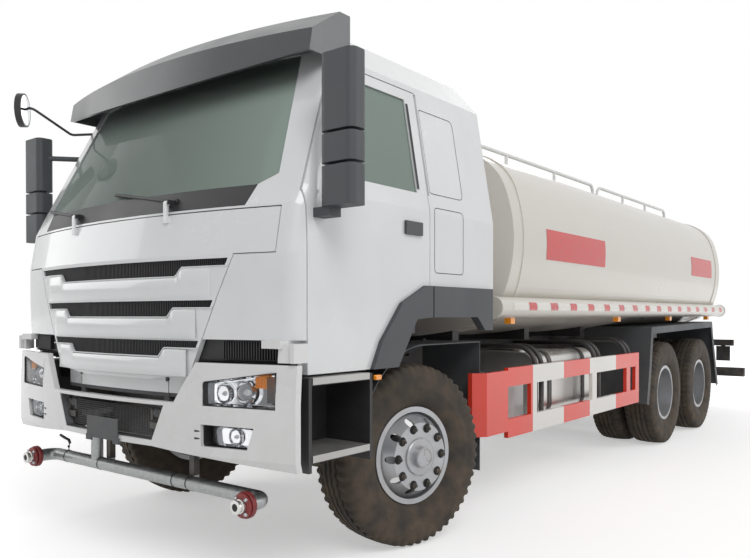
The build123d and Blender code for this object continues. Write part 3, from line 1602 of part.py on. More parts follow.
with BuildPart() as tank_shell:
    extrude(tank_section(cross(tank_rear_y)), amount=tank_rear_y - tank_front_y)
    with BuildSketch(flank()) as side_view:
        with BuildLine():
            ThreePointArc((tank_front_y + tank_dish, tank_foot_z - overrun),
                          (tank_front_y, tank_middle_z), (tank_front_y + tank_dish, tank_top_z + overrun))
            Line((tank_front_y + tank_dish, tank_top_z + overrun),
                 (tank_rear_y - tank_dish, tank_top_z + overrun))
            ThreePointArc((tank_rear_y - tank_dish, tank_top_z + overrun), (tank_rear_y, tank_middle_z),
                          (tank_rear_y - tank_dish, tank_foot_z - overrun))
            Line((tank_rear_y - tank_dish, tank_foot_z - overrun),
                 (tank_front_y + tank_dish, tank_foot_z - overrun))
        make_face()
    extrude(side_view.sketch, amount=body_half, both=True, mode=Mode.INTERSECT)
    with BuildSketch(deck(tank_foot_z - overrun)) as plan_view:
        with BuildLine():
            ThreePointArc((-body_half, tank_front_y + tank_dish), (0, tank_front_y),
                          (body_half, tank_front_y + tank_dish))
            Line((body_half, tank_front_y + tank_dish), (body_half, tank_rear_y - tank_dish))
            ThreePointArc((body_half, tank_rear_y - tank_dish), (0, tank_rear_y),
                          (-body_half, tank_rear_y - tank_dish))
            Line((-body_half, tank_rear_y - tank_dish), (-body_half, tank_front_y + tank_dish))
        make_face()
    extrude(plan_view.sketch, amount=tank_top_z, mode=Mode.INTERSECT)
with BuildPart() as water_tank:
    add(tank_shell.part)
    for station in (tank_front_y + 2 * tank_dish, tank_rear_y - 2 * tank_dish + rim_band):
        extrude(tank_section(cross(station), rim_proud), amount=rim_band)
    for station in manhole_stations:
        rod((0, station, tank_middle_z), (0, station, tank_top_z + manhole_neck), manhole_radius)
        for side in (-1, 1):
            block(sorted((side * manhole_ear_x, side * (manhole_ear_x + lid_ear))),
                  (station + manhole_radius - manhole_neck, station + manhole_hinge + manhole_boss),
                  (tank_top_z + manhole_neck - 2 * manhole_boss,
                   tank_top_z + manhole_neck + manhole_lid_thick))
        rod((-manhole_ear_x - lid_ear, station + manhole_hinge, tank_top_z + manhole_neck),
            (manhole_ear_x + lid_ear, station + manhole_hinge, tank_top_z + manhole_neck), lid_hinge_pin)
finish(water_tank.part, "water_tank")
for station, place_name in zip(manhole_stations, ("front", "rear")):
    with BuildPart() as manhole_lid:
        rod((0, station, tank_top_z + manhole_neck + skin_gap),
            (0, station, tank_top_z + manhole_neck + manhole_lid_thick), manhole_lid_radius)
        block((-manhole_ear_x + seam, manhole_ear_x - seam), (station, station + manhole_hinge),
              (tank_top_z + manhole_neck + skin_gap, tank_top_z + manhole_neck + manhole_lid_thick))
        rod((-manhole_ear_x + seam, station + manhole_hinge, tank_top_z + manhole_neck),
            (manhole_ear_x - seam, station + manhole_hinge, tank_top_z + manhole_neck), manhole_boss)
        rod((0, station, tank_top_z), (0, station, tank_top_z + manhole_neck + skin_gap),
            manhole_radius + seam, mode=Mode.SUBTRACT)
        for side in (-1, 1):
            block(sorted((side * (manhole_ear_x - seam / 2), side * (manhole_ear_x + lid_ear + seam))),
                  (station + manhole_radius - 2 * manhole_neck, station + 2 * manhole_lid_radius),
                  (tank_top_z, tank_top_z + 2 * manhole_neck), mode=Mode.SUBTRACT)
        rod((-manhole_ear_x, station + manhole_hinge, tank_top_z + manhole_neck),
            (manhole_ear_x, station + manhole_hinge, tank_top_z + manhole_neck),
            lid_hinge_pin + fit_gap, mode=Mode.SUBTRACT)
    finish(manhole_lid.part, f"manhole_lid_{place_name}")

# Bearers on the frame and saddles under the tank
bearer_top_z = frame_top_z + bearer_height
with BuildPart() as subframe:
    for side in (-1, 1):
        block(sorted((side * (frame_half - frame_flange), side * frame_half)),
              (tank_front_y, platform_rear_y), (frame_top_z, bearer_top_z))
    for station in saddle_stations:
        block((-saddle_half, saddle_half), (station - saddle_thick / 2, station + saddle_thick / 2),
              (bearer_top_z, saddle_top_z))
    add(water_tank.part, mode=Mode.SUBTRACT)

# Hose tubes along the tank's lower flanks, with marker lamps under them, and the tail lamps
with BuildPart() as hose_tubes:
    for side in (-1, 1):
        rod((side * hose_tube_x, hose_tube_front_y, hose_tube_z),
            (side * hose_tube_x, hose_tube_rear_y, hose_tube_z), hose_tube_radius)
    add(water_tank.part, mode=Mode.SUBTRACT)
finish(hose_tubes.part, "hose_tubes")
with BuildPart() as marker_lamps:
    for side in (-1, 1):
        for station in marker_stations:
            block(sorted((side * (hose_tube_x - marker_half), side * (hose_tube_x + marker_half / 2))),
                  (station - marker_half, station + marker_half),
                  (hose_tube_z - hose_tube_radius - marker_height, hose_tube_z - hose_tube_radius / 2))
    add(hose_tubes.part, mode=Mode.SUBTRACT)
    add(water_tank.part, mode=Mode.SUBTRACT)
    for side in (-1, 1):
        rod((side * hose_tube_x, hose_tube_front_y, hose_tube_z),
            (side * hose_tube_x, hose_tube_rear_y, hose_tube_z), hose_tube_radius, mode=Mode.SUBTRACT)
    for side in (-1, 1):
        block(sorted((side * (lamp_bar_half - tail_lamp_length), side * lamp_bar_half)),
              (lamp_bar_y + lamp_bar_depth, lamp_bar_y + lamp_bar_depth + 2 * plate_bracket_thick),
              (lamp_bar_foot_z + 2 * plate_bracket_thick, lamp_bar_foot_z + lamp_bar_height))
finish(marker_lamps.part, "marker_lamps")

# Rails on top of the tank and the walkway between them
rail_z = tank_top_z - rail_sink + rail_rise
with BuildPart() as top_rails:
    for side in (-1, 1):
        for start, end in rail_runs:
            bent_tube([
                (side * rail_x, start, rail_z - 2 * rail_rise), (side * rail_x, start, rail_z),
                (side * rail_x, end, rail_z), (side * rail_x, end, rail_z - 2 * rail_rise),
            ], rail_bend, rail_radius)
            for post in (1, 2):
                post_y = start + (end - start) * post / 3
                rod((side * rail_x, post_y, rail_z - 2 * rail_rise), (side * rail_x, post_y, rail_z),
                    rail_post_radius)
    for start, end in walk_runs:
        block((-catwalk_half, catwalk_half), (start, end),
              (tank_top_z + catwalk_foot, tank_top_z + catwalk_foot + catwalk_thick))
        for foot_y in (start, end - catwalk_foot):
            block((-catwalk_half, catwalk_half), (foot_y, foot_y + catwalk_foot),
                  (tank_top_z - catwalk_foot, tank_top_z + catwalk_foot))
    add(water_tank.part, mode=Mode.SUBTRACT)
finish(top_rails.part, "top_rails")

# Side guards, and the bent tubes that carry them
with BuildPart() as side_guards:
    for side in (-1, 1):
        span = sorted((side * guard_x, side * (guard_x + guard_thick)))
        block(span, (guard_front_y, guard_front_y + guard_lead), (guard_plate_foot_z, guard_plate_top_z))
        plate(deck(guard_plate_foot_z), [
            (side * (guard_x + guard_thick), guard_front_y), (side * guard_x, guard_front_y),
            (side * (guard_x - guard_return), guard_front_y - guard_return),
            (side * (guard_x - guard_return + guard_thick), guard_front_y - guard_return),
        ], guard_plate_top_z - guard_plate_foot_z)
        block(span, (guard_front_y + guard_lead, guard_rear_y), (guard_foot_z, guard_foot_z + guard_rail))
        block(span, (guard_front_y + guard_lead, guard_rear_y), (guard_top_z - guard_rail, guard_top_z))
        for station in guard_posts:
            block(span, (station, station + guard_post), (guard_foot_z, guard_top_z))
finish(side_guards.part, "side_guards")
with BuildPart() as guard_hangers:
    for side in (-1, 1):
        for station in hoop_stations:
            bent_tube([
                (side * frame_half, station, hoop_root_z),
                (side * (guard_x - hoop_radius), station, hoop_top_z),
                (side * (guard_x - hoop_radius), station, hoop_foot_z),
            ], hoop_bend, hoop_radius)
    add(subframe.part, mode=Mode.SUBTRACT)
    add(side_guards.part, mode=Mode.SUBTRACT)

# Fuel tank with its straps, and the battery box ahead of it, on the left rail
with BuildPart() as fuel_tank:
    plate(cross(fuel_rear_y), [
        (fuel_inner_x, fuel_foot_z), (fuel_inner_x, fuel_top_z),
        (fuel_outer_x, fuel_top_z), (fuel_outer_x, fuel_foot_z),
    ], fuel_rear_y - fuel_front_y, rounding=fuel_round)
    rod((fuel_outer_x - 2 * fuel_round, fuel_front_y + 2 * fuel_round, fuel_top_z - fuel_strap),
        (fuel_outer_x - 2 * fuel_round, fuel_front_y + 2 * fuel_round, fuel_top_z + fuel_strap_thick * 2),
        fuel_strap)
finish(fuel_tank.part, "fuel_tank")
with BuildPart() as side_brackets:
    add(guard_hangers.part)
    for strap_y in (fuel_front_y + 3 * fuel_strap + fuel_round, fuel_rear_y - 4 * fuel_strap):
        plate(cross(strap_y + fuel_strap), [
            (fuel_inner_x - fuel_strap_thick, fuel_foot_z - fuel_strap_thick),
            (fuel_inner_x - fuel_strap_thick, fuel_top_z + fuel_strap_thick),
            (fuel_outer_x + fuel_strap_thick, fuel_top_z + fuel_strap_thick),
            (fuel_outer_x + fuel_strap_thick, fuel_foot_z - fuel_strap_thick),
        ], fuel_strap, rounding=fuel_round + fuel_strap_thick)
        block((frame_half, fuel_inner_x), (strap_y, strap_y + fuel_strap),
              (frame_foot_z, fuel_top_z - fuel_round))
    add(fuel_tank.part, mode=Mode.SUBTRACT)
finish(side_brackets.part, "side_brackets")
with BuildPart() as battery_box:
    block((silencer_inner_x, battery_outer_x), (battery_front_y, battery_rear_y),
          (battery_foot_z, battery_top_z))
    block((frame_half, silencer_inner_x), (battery_front_y + fuel_strap, battery_rear_y - fuel_strap),
          (frame_foot_z, frame_foot_z + fuel_strap))
finish(battery_box.part, "battery_box")

# Silencer and air tanks on the right rail
with BuildPart() as right_side_tanks:
    block((-silencer_outer_x, -silencer_inner_x), (silencer_front_y, silencer_rear_y),
          (silencer_foot_z, silencer_top_z))
    block((-silencer_inner_x, -frame_half), (silencer_front_y + fuel_strap, silencer_rear_y - fuel_strap),
          (frame_foot_z, frame_foot_z + fuel_strap))
    for start, end in air_tank_runs:
        rod((-air_tank_x, start, air_tank_z), (-air_tank_x, end, air_tank_z), air_tank_radius)
        for strap_y in (start + 2 * fuel_strap, end - 3 * fuel_strap):
            block((-air_tank_x, -frame_half), (strap_y, strap_y + fuel_strap),
                  (frame_foot_z, frame_foot_z + fuel_strap))
finish(right_side_tanks.part, "right_side_tanks")


def strip(points, thick):
    """Outline of a bent sheet: the given edge, and a second one at its left hand."""
    far = []
    for index, (y, z) in enumerate(points):
        before = points[max(index - 1, 0)]
        after = points[min(index + 1, len(points) - 1)]
        ahead = Vector(after[0] - y, after[1] - z) if index + 1 < len(points) else None
        behind = Vector(y - before[0], z - before[1]) if index else ahead
        ahead = (ahead or behind).normalized()
        behind = behind.normalized()
        lean = Vector(-ahead.Y - behind.Y, ahead.X + behind.X).normalized()
        reach = thick / (lean.X * -ahead.Y + lean.Y * ahead.X)
        far.append((y + lean.X * reach, z + lean.Y * reach))
    return points + far[::-1]


# Mudguards over the rear wheels
mud_points = [
    (mud_shin_y, mud_foot_z), (mud_shin_y + mud_lip, mud_knee_z), (mud_front_y, mud_front_top_z),
    (mud_rear_y, mud_rear_top_z), (mud_tail_y, mud_foot_z),
]
with BuildPart() as rear_mudguards:
    for side in (-1, 1):
        plate(flank(side * mud_inner_x), strip(mud_points, mud_sheet), side * (mud_outer_x - mud_inner_x))
        plate(flank(side * (mud_outer_x - mud_sheet)), strip(mud_points, -mud_lip), side * mud_sheet)
        for station in (wheelbase - fender_radius + mud_lip, bogie_y,
                        wheelbase + bogie_spacing + fender_radius / 2):
            share = (station - mud_front_y) / (mud_rear_y - mud_front_y)
            rod((side * frame_half, station, bearer_top_z - bearer_height / 2),
                (side * (mud_inner_x + mud_lip), station,
                 mud_front_top_z + share * (mud_rear_top_z - mud_front_top_z)), post_radius)
    add(subframe.part, mode=Mode.SUBTRACT)
    add(water_tank.part, mode=Mode.SUBTRACT)

# Inner mudguards over the front wheels, with their flaps
with BuildPart() as mudguards:
    add(rear_mudguards.part)
    for side in (-1, 1):
        with BuildSketch(flank(side * fender_inner_x)) as arch:
            with BuildLine():
                near = fender_radius
                far = fender_radius + mud_sheet
                diagonal = sqrt(1 / 2)
                rise = fender_sweep_share
                run = sqrt(1 - rise**2)
                middle_rise = sqrt((1 + rise) / 2)
                middle_run = sqrt((1 - rise) / 2)
                Polyline((0, axle_z + near), (flap_y, axle_z + near), (flap_y, flap_foot_z),
                         (flap_y + mud_sheet, flap_foot_z), (flap_y + mud_sheet, axle_z + far),
                         (0, axle_z + far))
                ThreePointArc((0, axle_z + far), (-far * middle_run, axle_z + far * middle_rise),
                              (-far * run, axle_z + far * rise))
                Line((-far * run, axle_z + far * rise), (-near * run, axle_z + near * rise))
                ThreePointArc((-near * run, axle_z + near * rise),
                              (-near * middle_run, axle_z + near * middle_rise), (0, axle_z + near))
            make_face()
        extrude(arch.sketch, amount=side * (fender_outer_x - fender_inner_x))
        for station in (0, flap_y - mud_lip):
            rod((side * frame_half, station, frame_top_z - frame_flange / 2),
                (side * (fender_inner_x + mud_lip), station, axle_z + far - mud_sheet / 2), post_radius)
    add(frame.part, mode=Mode.SUBTRACT)
finish(mudguards.part, "mudguards")

# Tail: lamp bar, lamps, blank plate holder and underrun beam
with BuildPart() as tail_frame:
    block((-lamp_bar_half, lamp_bar_half), (lamp_bar_y, lamp_bar_y + lamp_bar_depth),
          (lamp_bar_foot_z, lamp_bar_foot_z + lamp_bar_height))
    for side in (-1, 1):
        block(sorted((side * (frame_half - frame_flange), side * frame_half)), (frame_rear_y, lamp_bar_y),
              (lamp_bar_foot_z, lamp_bar_foot_z + lamp_bar_height))
    block((plate_holder_x - plate_holder_half, plate_holder_x + plate_holder_half),
          (lamp_bar_y + lamp_bar_depth, lamp_bar_y + lamp_bar_depth + plate_bracket_thick),
          (plate_holder_foot_z, lamp_bar_foot_z - plate_bracket_thick))
    block((plate_holder_x - lamp_bar_depth / 2, plate_holder_x + lamp_bar_depth / 2),
          (lamp_bar_y + lamp_bar_depth, lamp_bar_y + lamp_bar_depth + plate_bracket_thick),
          (lamp_bar_foot_z - plate_bracket_thick, lamp_bar_foot_z + plate_bracket_thick))
    block((-underrun_half, underrun_half), (underrun_y, rear_reach),
          (underrun_foot_z, underrun_foot_z + underrun_height))
    for side in (-1, 1):
        plate(flank(side * (frame_half - frame_flange) if side > 0 else -frame_half), [
            (frame_rear_y - 3 * underrun_arm, frame_foot_z), (frame_rear_y, frame_foot_z),
            (underrun_y, underrun_foot_z + underrun_height), (underrun_y, underrun_foot_z),
            (underrun_y - underrun_arm, underrun_foot_z),
        ], frame_flange)
finish(tail_frame.part, "tail_frame")
with BuildPart() as platform:
    add(subframe.part)
    block((-platform_half, platform_half), (platform_front_y, platform_rear_y),
          (bearer_top_z, bearer_top_z + platform_thick))
    for side in (-1, 1):
        bent_tube([
            (side * ladder_half, ladder_y, bearer_top_z + platform_thick / 2),
            (side * ladder_half, ladder_top_y, rail_z), (side * ladder_half, ladder_end_y, rail_z),
            (side * ladder_half, ladder_end_y, rail_z - 2 * rail_rise),
        ], rail_bend, ladder_radius)
    for rung in range(1, ladder_rungs + 1):
        share = rung / (ladder_rungs + 1)
        rung_y = ladder_y + (ladder_top_y - ladder_y) * share
        rung_z = bearer_top_z + platform_thick / 2 + (rail_z - bearer_top_z) * share
        rod((-ladder_half, rung_y, rung_z), (ladder_half, rung_y, rung_z), ladder_radius)
    add(tank_shell.part, mode=Mode.SUBTRACT)
finish(platform.part, "subframe")

# Water pump on the right rail, its pipe to the front, and the spray bar
with BuildPart() as spray_line:
    rod((-pump_x, pump_y, pipe_z), (-pump_x, pump_y + pump_length, pipe_z), pump_radius)
    block((-pump_x, -frame_half), (pump_y + fuel_strap, pump_y + 2 * fuel_strap),
          (pipe_z, pipe_z + fuel_strap))
    bent_tube([(pipe_x, pump_y, pipe_z), (pipe_x, spray_y, pipe_z), (pipe_x, spray_y, spray_z)],
              2 * pipe_radius, pipe_radius)
    bent_tube([
        (-nozzle_x, nozzle_root_y, spray_z), (-nozzle_x, spray_y, spray_z),
        (nozzle_x, spray_y, spray_z), (nozzle_x, nozzle_root_y, spray_z),
    ], spray_elbow, spray_radius)
    for side in (-1, 1):
        rod((side * nozzle_x, nozzle_root_y, spray_z),
            (side * nozzle_x, nozzle_root_y + nozzle_flange, spray_z), nozzle_flange_radius)
        rod((side * nozzle_x, nozzle_tip_y, spray_z), (side * nozzle_x, nozzle_root_y, spray_z),
            nozzle_radius)
        block(sorted((side * (spring_x - post_radius), side * (spring_x + post_radius))),
              (spray_y, frame_front_y + 2 * post_radius), (spray_z, spray_z + 2 * post_radius))
        block(sorted((side * (spring_x - post_radius), side * (spring_x + post_radius))),
              (frame_front_y, frame_front_y + 2 * post_radius), (spray_z, frame_foot_z))
finish(spray_line.part, "spray_line")
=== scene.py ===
"""Looks of the six-wheeled water tanker truck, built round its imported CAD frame, in metres.

The truck faces -Y with its left side at +X. Stations are counted from the front axle, rearward positive.
"""

import json
from math import ceil, cos, pi, radians, sin, sqrt

import bmesh
import bpy
from mathutils import Matrix, Vector
from mathutils.bvhtree import BVHTree


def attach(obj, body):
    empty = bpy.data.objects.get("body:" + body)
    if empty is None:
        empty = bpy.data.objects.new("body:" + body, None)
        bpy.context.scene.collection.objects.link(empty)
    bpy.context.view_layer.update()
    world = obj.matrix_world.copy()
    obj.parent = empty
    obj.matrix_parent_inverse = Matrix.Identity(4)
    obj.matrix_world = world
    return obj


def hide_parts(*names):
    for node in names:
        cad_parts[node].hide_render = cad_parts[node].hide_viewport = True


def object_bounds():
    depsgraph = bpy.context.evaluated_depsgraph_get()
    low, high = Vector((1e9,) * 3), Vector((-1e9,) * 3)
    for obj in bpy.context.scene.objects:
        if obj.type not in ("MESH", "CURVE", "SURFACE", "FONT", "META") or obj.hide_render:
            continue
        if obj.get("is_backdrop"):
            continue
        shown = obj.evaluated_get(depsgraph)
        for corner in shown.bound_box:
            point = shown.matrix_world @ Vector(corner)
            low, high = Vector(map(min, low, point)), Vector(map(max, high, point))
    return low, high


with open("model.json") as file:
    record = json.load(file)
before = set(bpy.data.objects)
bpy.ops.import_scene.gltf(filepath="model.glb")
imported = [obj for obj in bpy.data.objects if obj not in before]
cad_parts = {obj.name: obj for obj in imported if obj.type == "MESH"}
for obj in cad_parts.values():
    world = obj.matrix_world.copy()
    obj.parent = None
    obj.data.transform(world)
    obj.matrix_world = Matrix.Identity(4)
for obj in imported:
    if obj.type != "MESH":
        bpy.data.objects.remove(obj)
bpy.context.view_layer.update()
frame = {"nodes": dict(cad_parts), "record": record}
nodes = frame["nodes"]

# Places and sizes shared with the CAD: stations of the cab's nose, radius of its bow, the wheels' places
AXLE_Y = -3.565
AXLE_Z = 0.535
NOSE = -1.345
BOW = 4.2
STEER = radians(-14)
KINGPIN_X = 0.905
FRONT_REACH = 0.11
TWIN_X = 0.912
TWIN_GAP = 0.345
TWIN_STATIONS = (4.6, 5.95)
FRONT_RIM_FACE = 0.1725
TWIN_RIM_FACE = 0.012


def sy(station):
    """Row-frame y of a station counted from the front axle."""
    return AXLE_Y + station


def bowed(x, station):
    """Station of a point on the cab's bowed front, for a surface at that station on the truck's middle."""
    centre = NOSE + BOW
    radius = centre - station
    return centre - sqrt(radius * radius - x * x)


# Materials


def node_material(name, colour, rough, metal=0.0, coat=0.0, mottle=0.06, grain=3.0, bump=0.0, fine=400.0,
                  dust=0.0, dust_top=1.3, dust_colour=(0.30, 0.24, 0.17), glass=0.0, glow=0.0, bands=None):
    """Principled material whose colour, roughness and bump vary by noise over the piece.

    bands is (other colour, cuts): the tone switches between the two at each row-frame y in cuts.
    """
    mat = bpy.data.materials.new(name)
    mat.use_nodes = True
    tree = mat.node_tree
    links = tree.links
    shader = tree.nodes["Principled BSDF"]
    coord = tree.nodes.new("ShaderNodeTexCoord")
    noise = tree.nodes.new("ShaderNodeTexNoise")
    noise.inputs["Scale"].default_value = grain
    noise.inputs["Detail"].default_value = 6.0
    links.new(coord.outputs["Object"], noise.inputs["Vector"])

    def ranged(source, low, high, from_low=0.3, from_high=0.7):
        rng = tree.nodes.new("ShaderNodeMapRange")
        rng.inputs["From Min"].default_value = from_low
        rng.inputs["From Max"].default_value = from_high
        rng.inputs["To Min"].default_value = low
        rng.inputs["To Max"].default_value = high
        links.new(source, rng.inputs["Value"])
        return rng.outputs["Result"]

    def mixed(factor, first, second):
        mix = tree.nodes.new("ShaderNodeMix")
        mix.data_type = "RGBA"
        for socket, value in ((mix.inputs[0], factor), (mix.inputs[6], first), (mix.inputs[7], second)):
            if isinstance(value, (tuple, list)):
                socket.default_value = (*value[:3], 1)
            elif isinstance(value, float):
                socket.default_value = value
            else:
                links.new(value, socket)
        return mix.outputs[2]

    pale = tuple(min(1.0, c * (1 + mottle)) for c in colour[:3])
    deep = tuple(c * (1 - mottle) for c in colour[:3])
    tone = mixed(ranged(noise.outputs["Fac"], 0.0, 1.0), deep, pale)
    if bands:
        other, cuts = bands
        split = tree.nodes.new("ShaderNodeSeparateXYZ")
        links.new(coord.outputs["Object"], split.inputs["Vector"])
        total = None
        for cut in cuts:
            over = tree.nodes.new("ShaderNodeMath")
            over.operation = "GREATER_THAN"
            over.inputs[1].default_value = cut
            links.new(split.outputs["Y"], over.inputs[0])
            if total is None:
                total = over.outputs[0]
            else:
                add = tree.nodes.new("ShaderNodeMath")
                add.operation = "ADD"
                links.new(total, add.inputs[0])
                links.new(over.outputs[0], add.inputs[1])
                total = add.outputs[0]
        odd = tree.nodes.new("ShaderNodeMath")
        odd.operation = "MODULO"
        odd.inputs[1].default_value = 2.0
        links.new(total, odd.inputs[0])
        tone = mixed(odd.outputs[0], tone, other)
    if dust:
        place = tree.nodes.new("ShaderNodeSeparateXYZ")
        links.new(coord.outputs["Object"], place.inputs["Vector"])
        patch = tree.nodes.new("ShaderNodeTexNoise")
        patch.inputs["Scale"].default_value = 9.0
        patch.inputs["Detail"].default_value = 8.0
        links.new(coord.outputs["Object"], patch.inputs["Vector"])
        height = ranged(place.outputs["Z"], 1.0, 0.0, 0.2, dust_top)
        times = tree.nodes.new("ShaderNodeMath")
        times.operation = "MULTIPLY"
        links.new(height, times.inputs[0])
        links.new(ranged(patch.outputs["Fac"], 0.0, dust, 0.35, 0.7), times.inputs[1])
        tone = mixed(times.outputs[0], tone, dust_colour)
    links.new(tone, shader.inputs["Base Color"])
    links.new(ranged(noise.outputs["Fac"], max(0.02, rough - 0.06), min(1.0, rough + 0.06)),
              shader.inputs["Roughness"])
    shader.inputs["Metallic"].default_value = metal
    if coat:
        shader.inputs["Coat Weight"].default_value = coat
        shader.inputs["Coat Roughness"].default_value = 0.04
    if glass:
        shader.inputs["Transmission Weight"].default_value = glass
        shader.inputs["IOR"].default_value = 1.45
    if glow:
        shader.inputs["Emission Color"].default_value = (*colour[:3], 1)
        shader.inputs["Emission Strength"].default_value = glow
    if bump:
        pores = tree.nodes.new("ShaderNodeTexNoise")
        pores.inputs["Scale"].default_value = fine
        links.new(coord.outputs["Object"], pores.inputs["Vector"])
        relief = tree.nodes.new("ShaderNodeBump")
        relief.inputs["Strength"].default_value = bump
        relief.inputs["Distance"].default_value = 0.002
        links.new(pores.outputs["Fac"], relief.inputs["Height"])
        links.new(relief.outputs["Normal"], shader.inputs["Normal"])
    return mat


def clear_glass(name, tint, opacity, rough=0.02):
    """Thin tinted glass: mostly see-through, with a glossy skin."""
    mat = bpy.data.materials.new(name)
    mat.use_nodes = True
    tree = mat.node_tree
    links = tree.links
    shader = tree.nodes["Principled BSDF"]
    output = tree.nodes["Material Output"]
    coord = tree.nodes.new("ShaderNodeTexCoord")
    noise = tree.nodes.new("ShaderNodeTexNoise")
    noise.inputs["Scale"].default_value = 2.0
    links.new(coord.outputs["Object"], noise.inputs["Vector"])
    ramp = tree.nodes.new("ShaderNodeMapRange")
    ramp.inputs["To Min"].default_value = max(0.0, opacity - 0.03)
    ramp.inputs["To Max"].default_value = min(1.0, opacity + 0.03)
    links.new(noise.outputs["Fac"], ramp.inputs["Value"])
    shader.inputs["Base Color"].default_value = (*tint, 1)
    shader.inputs["Roughness"].default_value = rough
    clear = tree.nodes.new("ShaderNodeBsdfTransparent")
    clear.inputs["Color"].default_value = (*[0.75 + 0.25 * c for c in tint], 1)
    fresnel = tree.nodes.new("ShaderNodeFresnel")
    fresnel.inputs["IOR"].default_value = 1.5
    both = tree.nodes.new("ShaderNodeMath")
    both.operation = "MAXIMUM"
    links.new(fresnel.outputs["Fac"], both.inputs[0])
    links.new(ramp.outputs["Result"], both.inputs[1])
    mix = tree.nodes.new("ShaderNodeMixShader")
    links.new(both.outputs[0], mix.inputs["Fac"])
    links.new(clear.outputs[0], mix.inputs[1])
    links.new(shader.outputs[0], mix.inputs[2])
    links.new(mix.outputs[0], output.inputs["Surface"])
    return mat


GUARD_CUTS = [sy(y) for y in (1.35, 1.905, 2.444, 3.066)]
MATS = {
    "cab_paint": node_material("CabPaint", (0.76, 0.77, 0.78), 0.22, coat=0.6, mottle=0.025, dust=0.12),
    "white_paint": node_material("WhitePaint", (0.77, 0.77, 0.77), 0.3, coat=0.3, mottle=0.03, dust=0.15),
    "tank_paint": node_material("TankPaint", (0.68, 0.65, 0.59), 0.33, coat=0.35, mottle=0.03, grain=1.4,
                                bump=0.04, fine=9.0),
    "black_plastic": node_material("BlackPlastic", (0.016, 0.016, 0.018), 0.5, bump=0.2, fine=700.0,
                                   dust=0.08),
    "grey_plastic": node_material("GreyPlastic", (0.055, 0.06, 0.066), 0.55, bump=0.25, fine=700.0,
                                  dust=0.18),
    "smoked_plastic": node_material("SmokedPlastic", (0.07, 0.074, 0.078), 0.3),
    "chassis_paint": node_material("ChassisPaint", (0.022, 0.022, 0.025), 0.45, bump=0.1, fine=90.0,
                                   dust=0.45),
    "iron": node_material("Iron", (0.045, 0.043, 0.04), 0.6, metal=0.4, bump=0.4, fine=120.0, dust=0.6),
    "rim_steel": node_material("RimSteel", (0.42, 0.43, 0.45), 0.34, metal=0.6, bump=0.08, fine=250.0,
                               dust=0.3, dust_top=1.6),
    "tyre": node_material("TyreRubber", (0.036, 0.03, 0.025), 0.85, mottle=0.2, grain=7.0, bump=0.3,
                          fine=260.0, dust=0.55, dust_top=2.4, dust_colour=(0.16, 0.115, 0.075)),
    "aluminium": node_material("Aluminium", (0.62, 0.62, 0.6), 0.3, metal=0.85, bump=0.1, fine=60.0,
                               dust=0.15),
    "galvanised": node_material("Galvanised", (0.36, 0.37, 0.37), 0.42, metal=0.75, mottle=0.15, grain=40.0,
                                bump=0.2, fine=160.0),
    "seat_cloth": node_material("SeatCloth", (0.11, 0.115, 0.13), 0.9, bump=0.6, fine=900.0, mottle=0.15,
                                grain=90.0),
    "floor_cover": node_material("FloorCover", (0.09, 0.09, 0.095), 0.7, bump=0.4, fine=300.0),
    "trim_grey": node_material("TrimGrey", (0.42, 0.43, 0.43), 0.6, bump=0.3, fine=500.0),
    "guard_paint": node_material("GuardPaint", (0.78, 0.05, 0.025), 0.35, coat=0.3, mottle=0.04,
                                 bands=((0.8, 0.78, 0.74), GUARD_CUTS)),
    "red_paint": node_material("RedPaint", (0.62, 0.03, 0.03), 0.35, coat=0.3, mottle=0.08, grain=30.0),
    "red_iron": node_material("RedIron", (0.22, 0.03, 0.03), 0.5, mottle=0.3, grain=30.0, bump=0.3),
    "white_tape": node_material("WhiteTape", (0.78, 0.76, 0.7), 0.3, coat=0.4, mottle=0.04, bump=0.3,
                                fine=500.0),
    "red_tape": node_material("RedTape", (0.6, 0.03, 0.03), 0.3, coat=0.4, mottle=0.06, bump=0.3, fine=500.0),
    "amber": node_material("AmberLens", (0.85, 0.3, 0.02), 0.15, coat=0.5, glow=0.15, mottle=0.15,
                           grain=60.0),
    "red_lens": node_material("RedLens", (0.5, 0.01, 0.01), 0.15, coat=0.5, glow=0.05),
    "chrome": node_material("Chrome", (0.75, 0.76, 0.78), 0.06, metal=1.0, mottle=0.02),
    "bulb": node_material("Bulb", (0.85, 0.87, 0.9), 0.1, coat=0.4, glow=0.1),
    "rubber": node_material("Rubber", (0.012, 0.012, 0.013), 0.6, mottle=0.1, bump=0.2),
    # Near-black: painted shade in the nut seats, the cab's panel gaps and the nozzles' mouths, and the own
    # dark of the spray bar's joints
    "groove": node_material("NearBlackShadeAndJoints", (0.02, 0.02, 0.02), 0.8, mottle=0.1),
    "mirror": node_material("MirrorGlass", (0.7, 0.72, 0.74), 0.03, metal=1.0, mottle=0.01),
    "tread_plate": node_material("TreadPlate", (0.42, 0.42, 0.41), 0.4, metal=0.7, mottle=0.1, bump=0.4,
                                 fine=130.0, dust=0.3),
    "curtain": node_material("Curtain", (0.42, 0.44, 0.46), 0.9, bump=0.5, fine=600.0, mottle=0.08),
    "glass": clear_glass("CabGlass", (0.62, 0.7, 0.66), 0.035),
    "lens": clear_glass("LampLens", (0.95, 0.96, 0.97), 0.04),
}
SLOT_OF = {row["node"]: row["material_slot"] for row in frame["record"]["subparts"]}
SLOT_MATERIAL = {"lamp": "lens", "amber_lamp": "amber"}
for name, node in nodes.items():
    key = SLOT_OF[name]
    node.data.materials.clear()
    node.data.materials.append(MATS[SLOT_MATERIAL.get(key, key)])


# Mesh tools


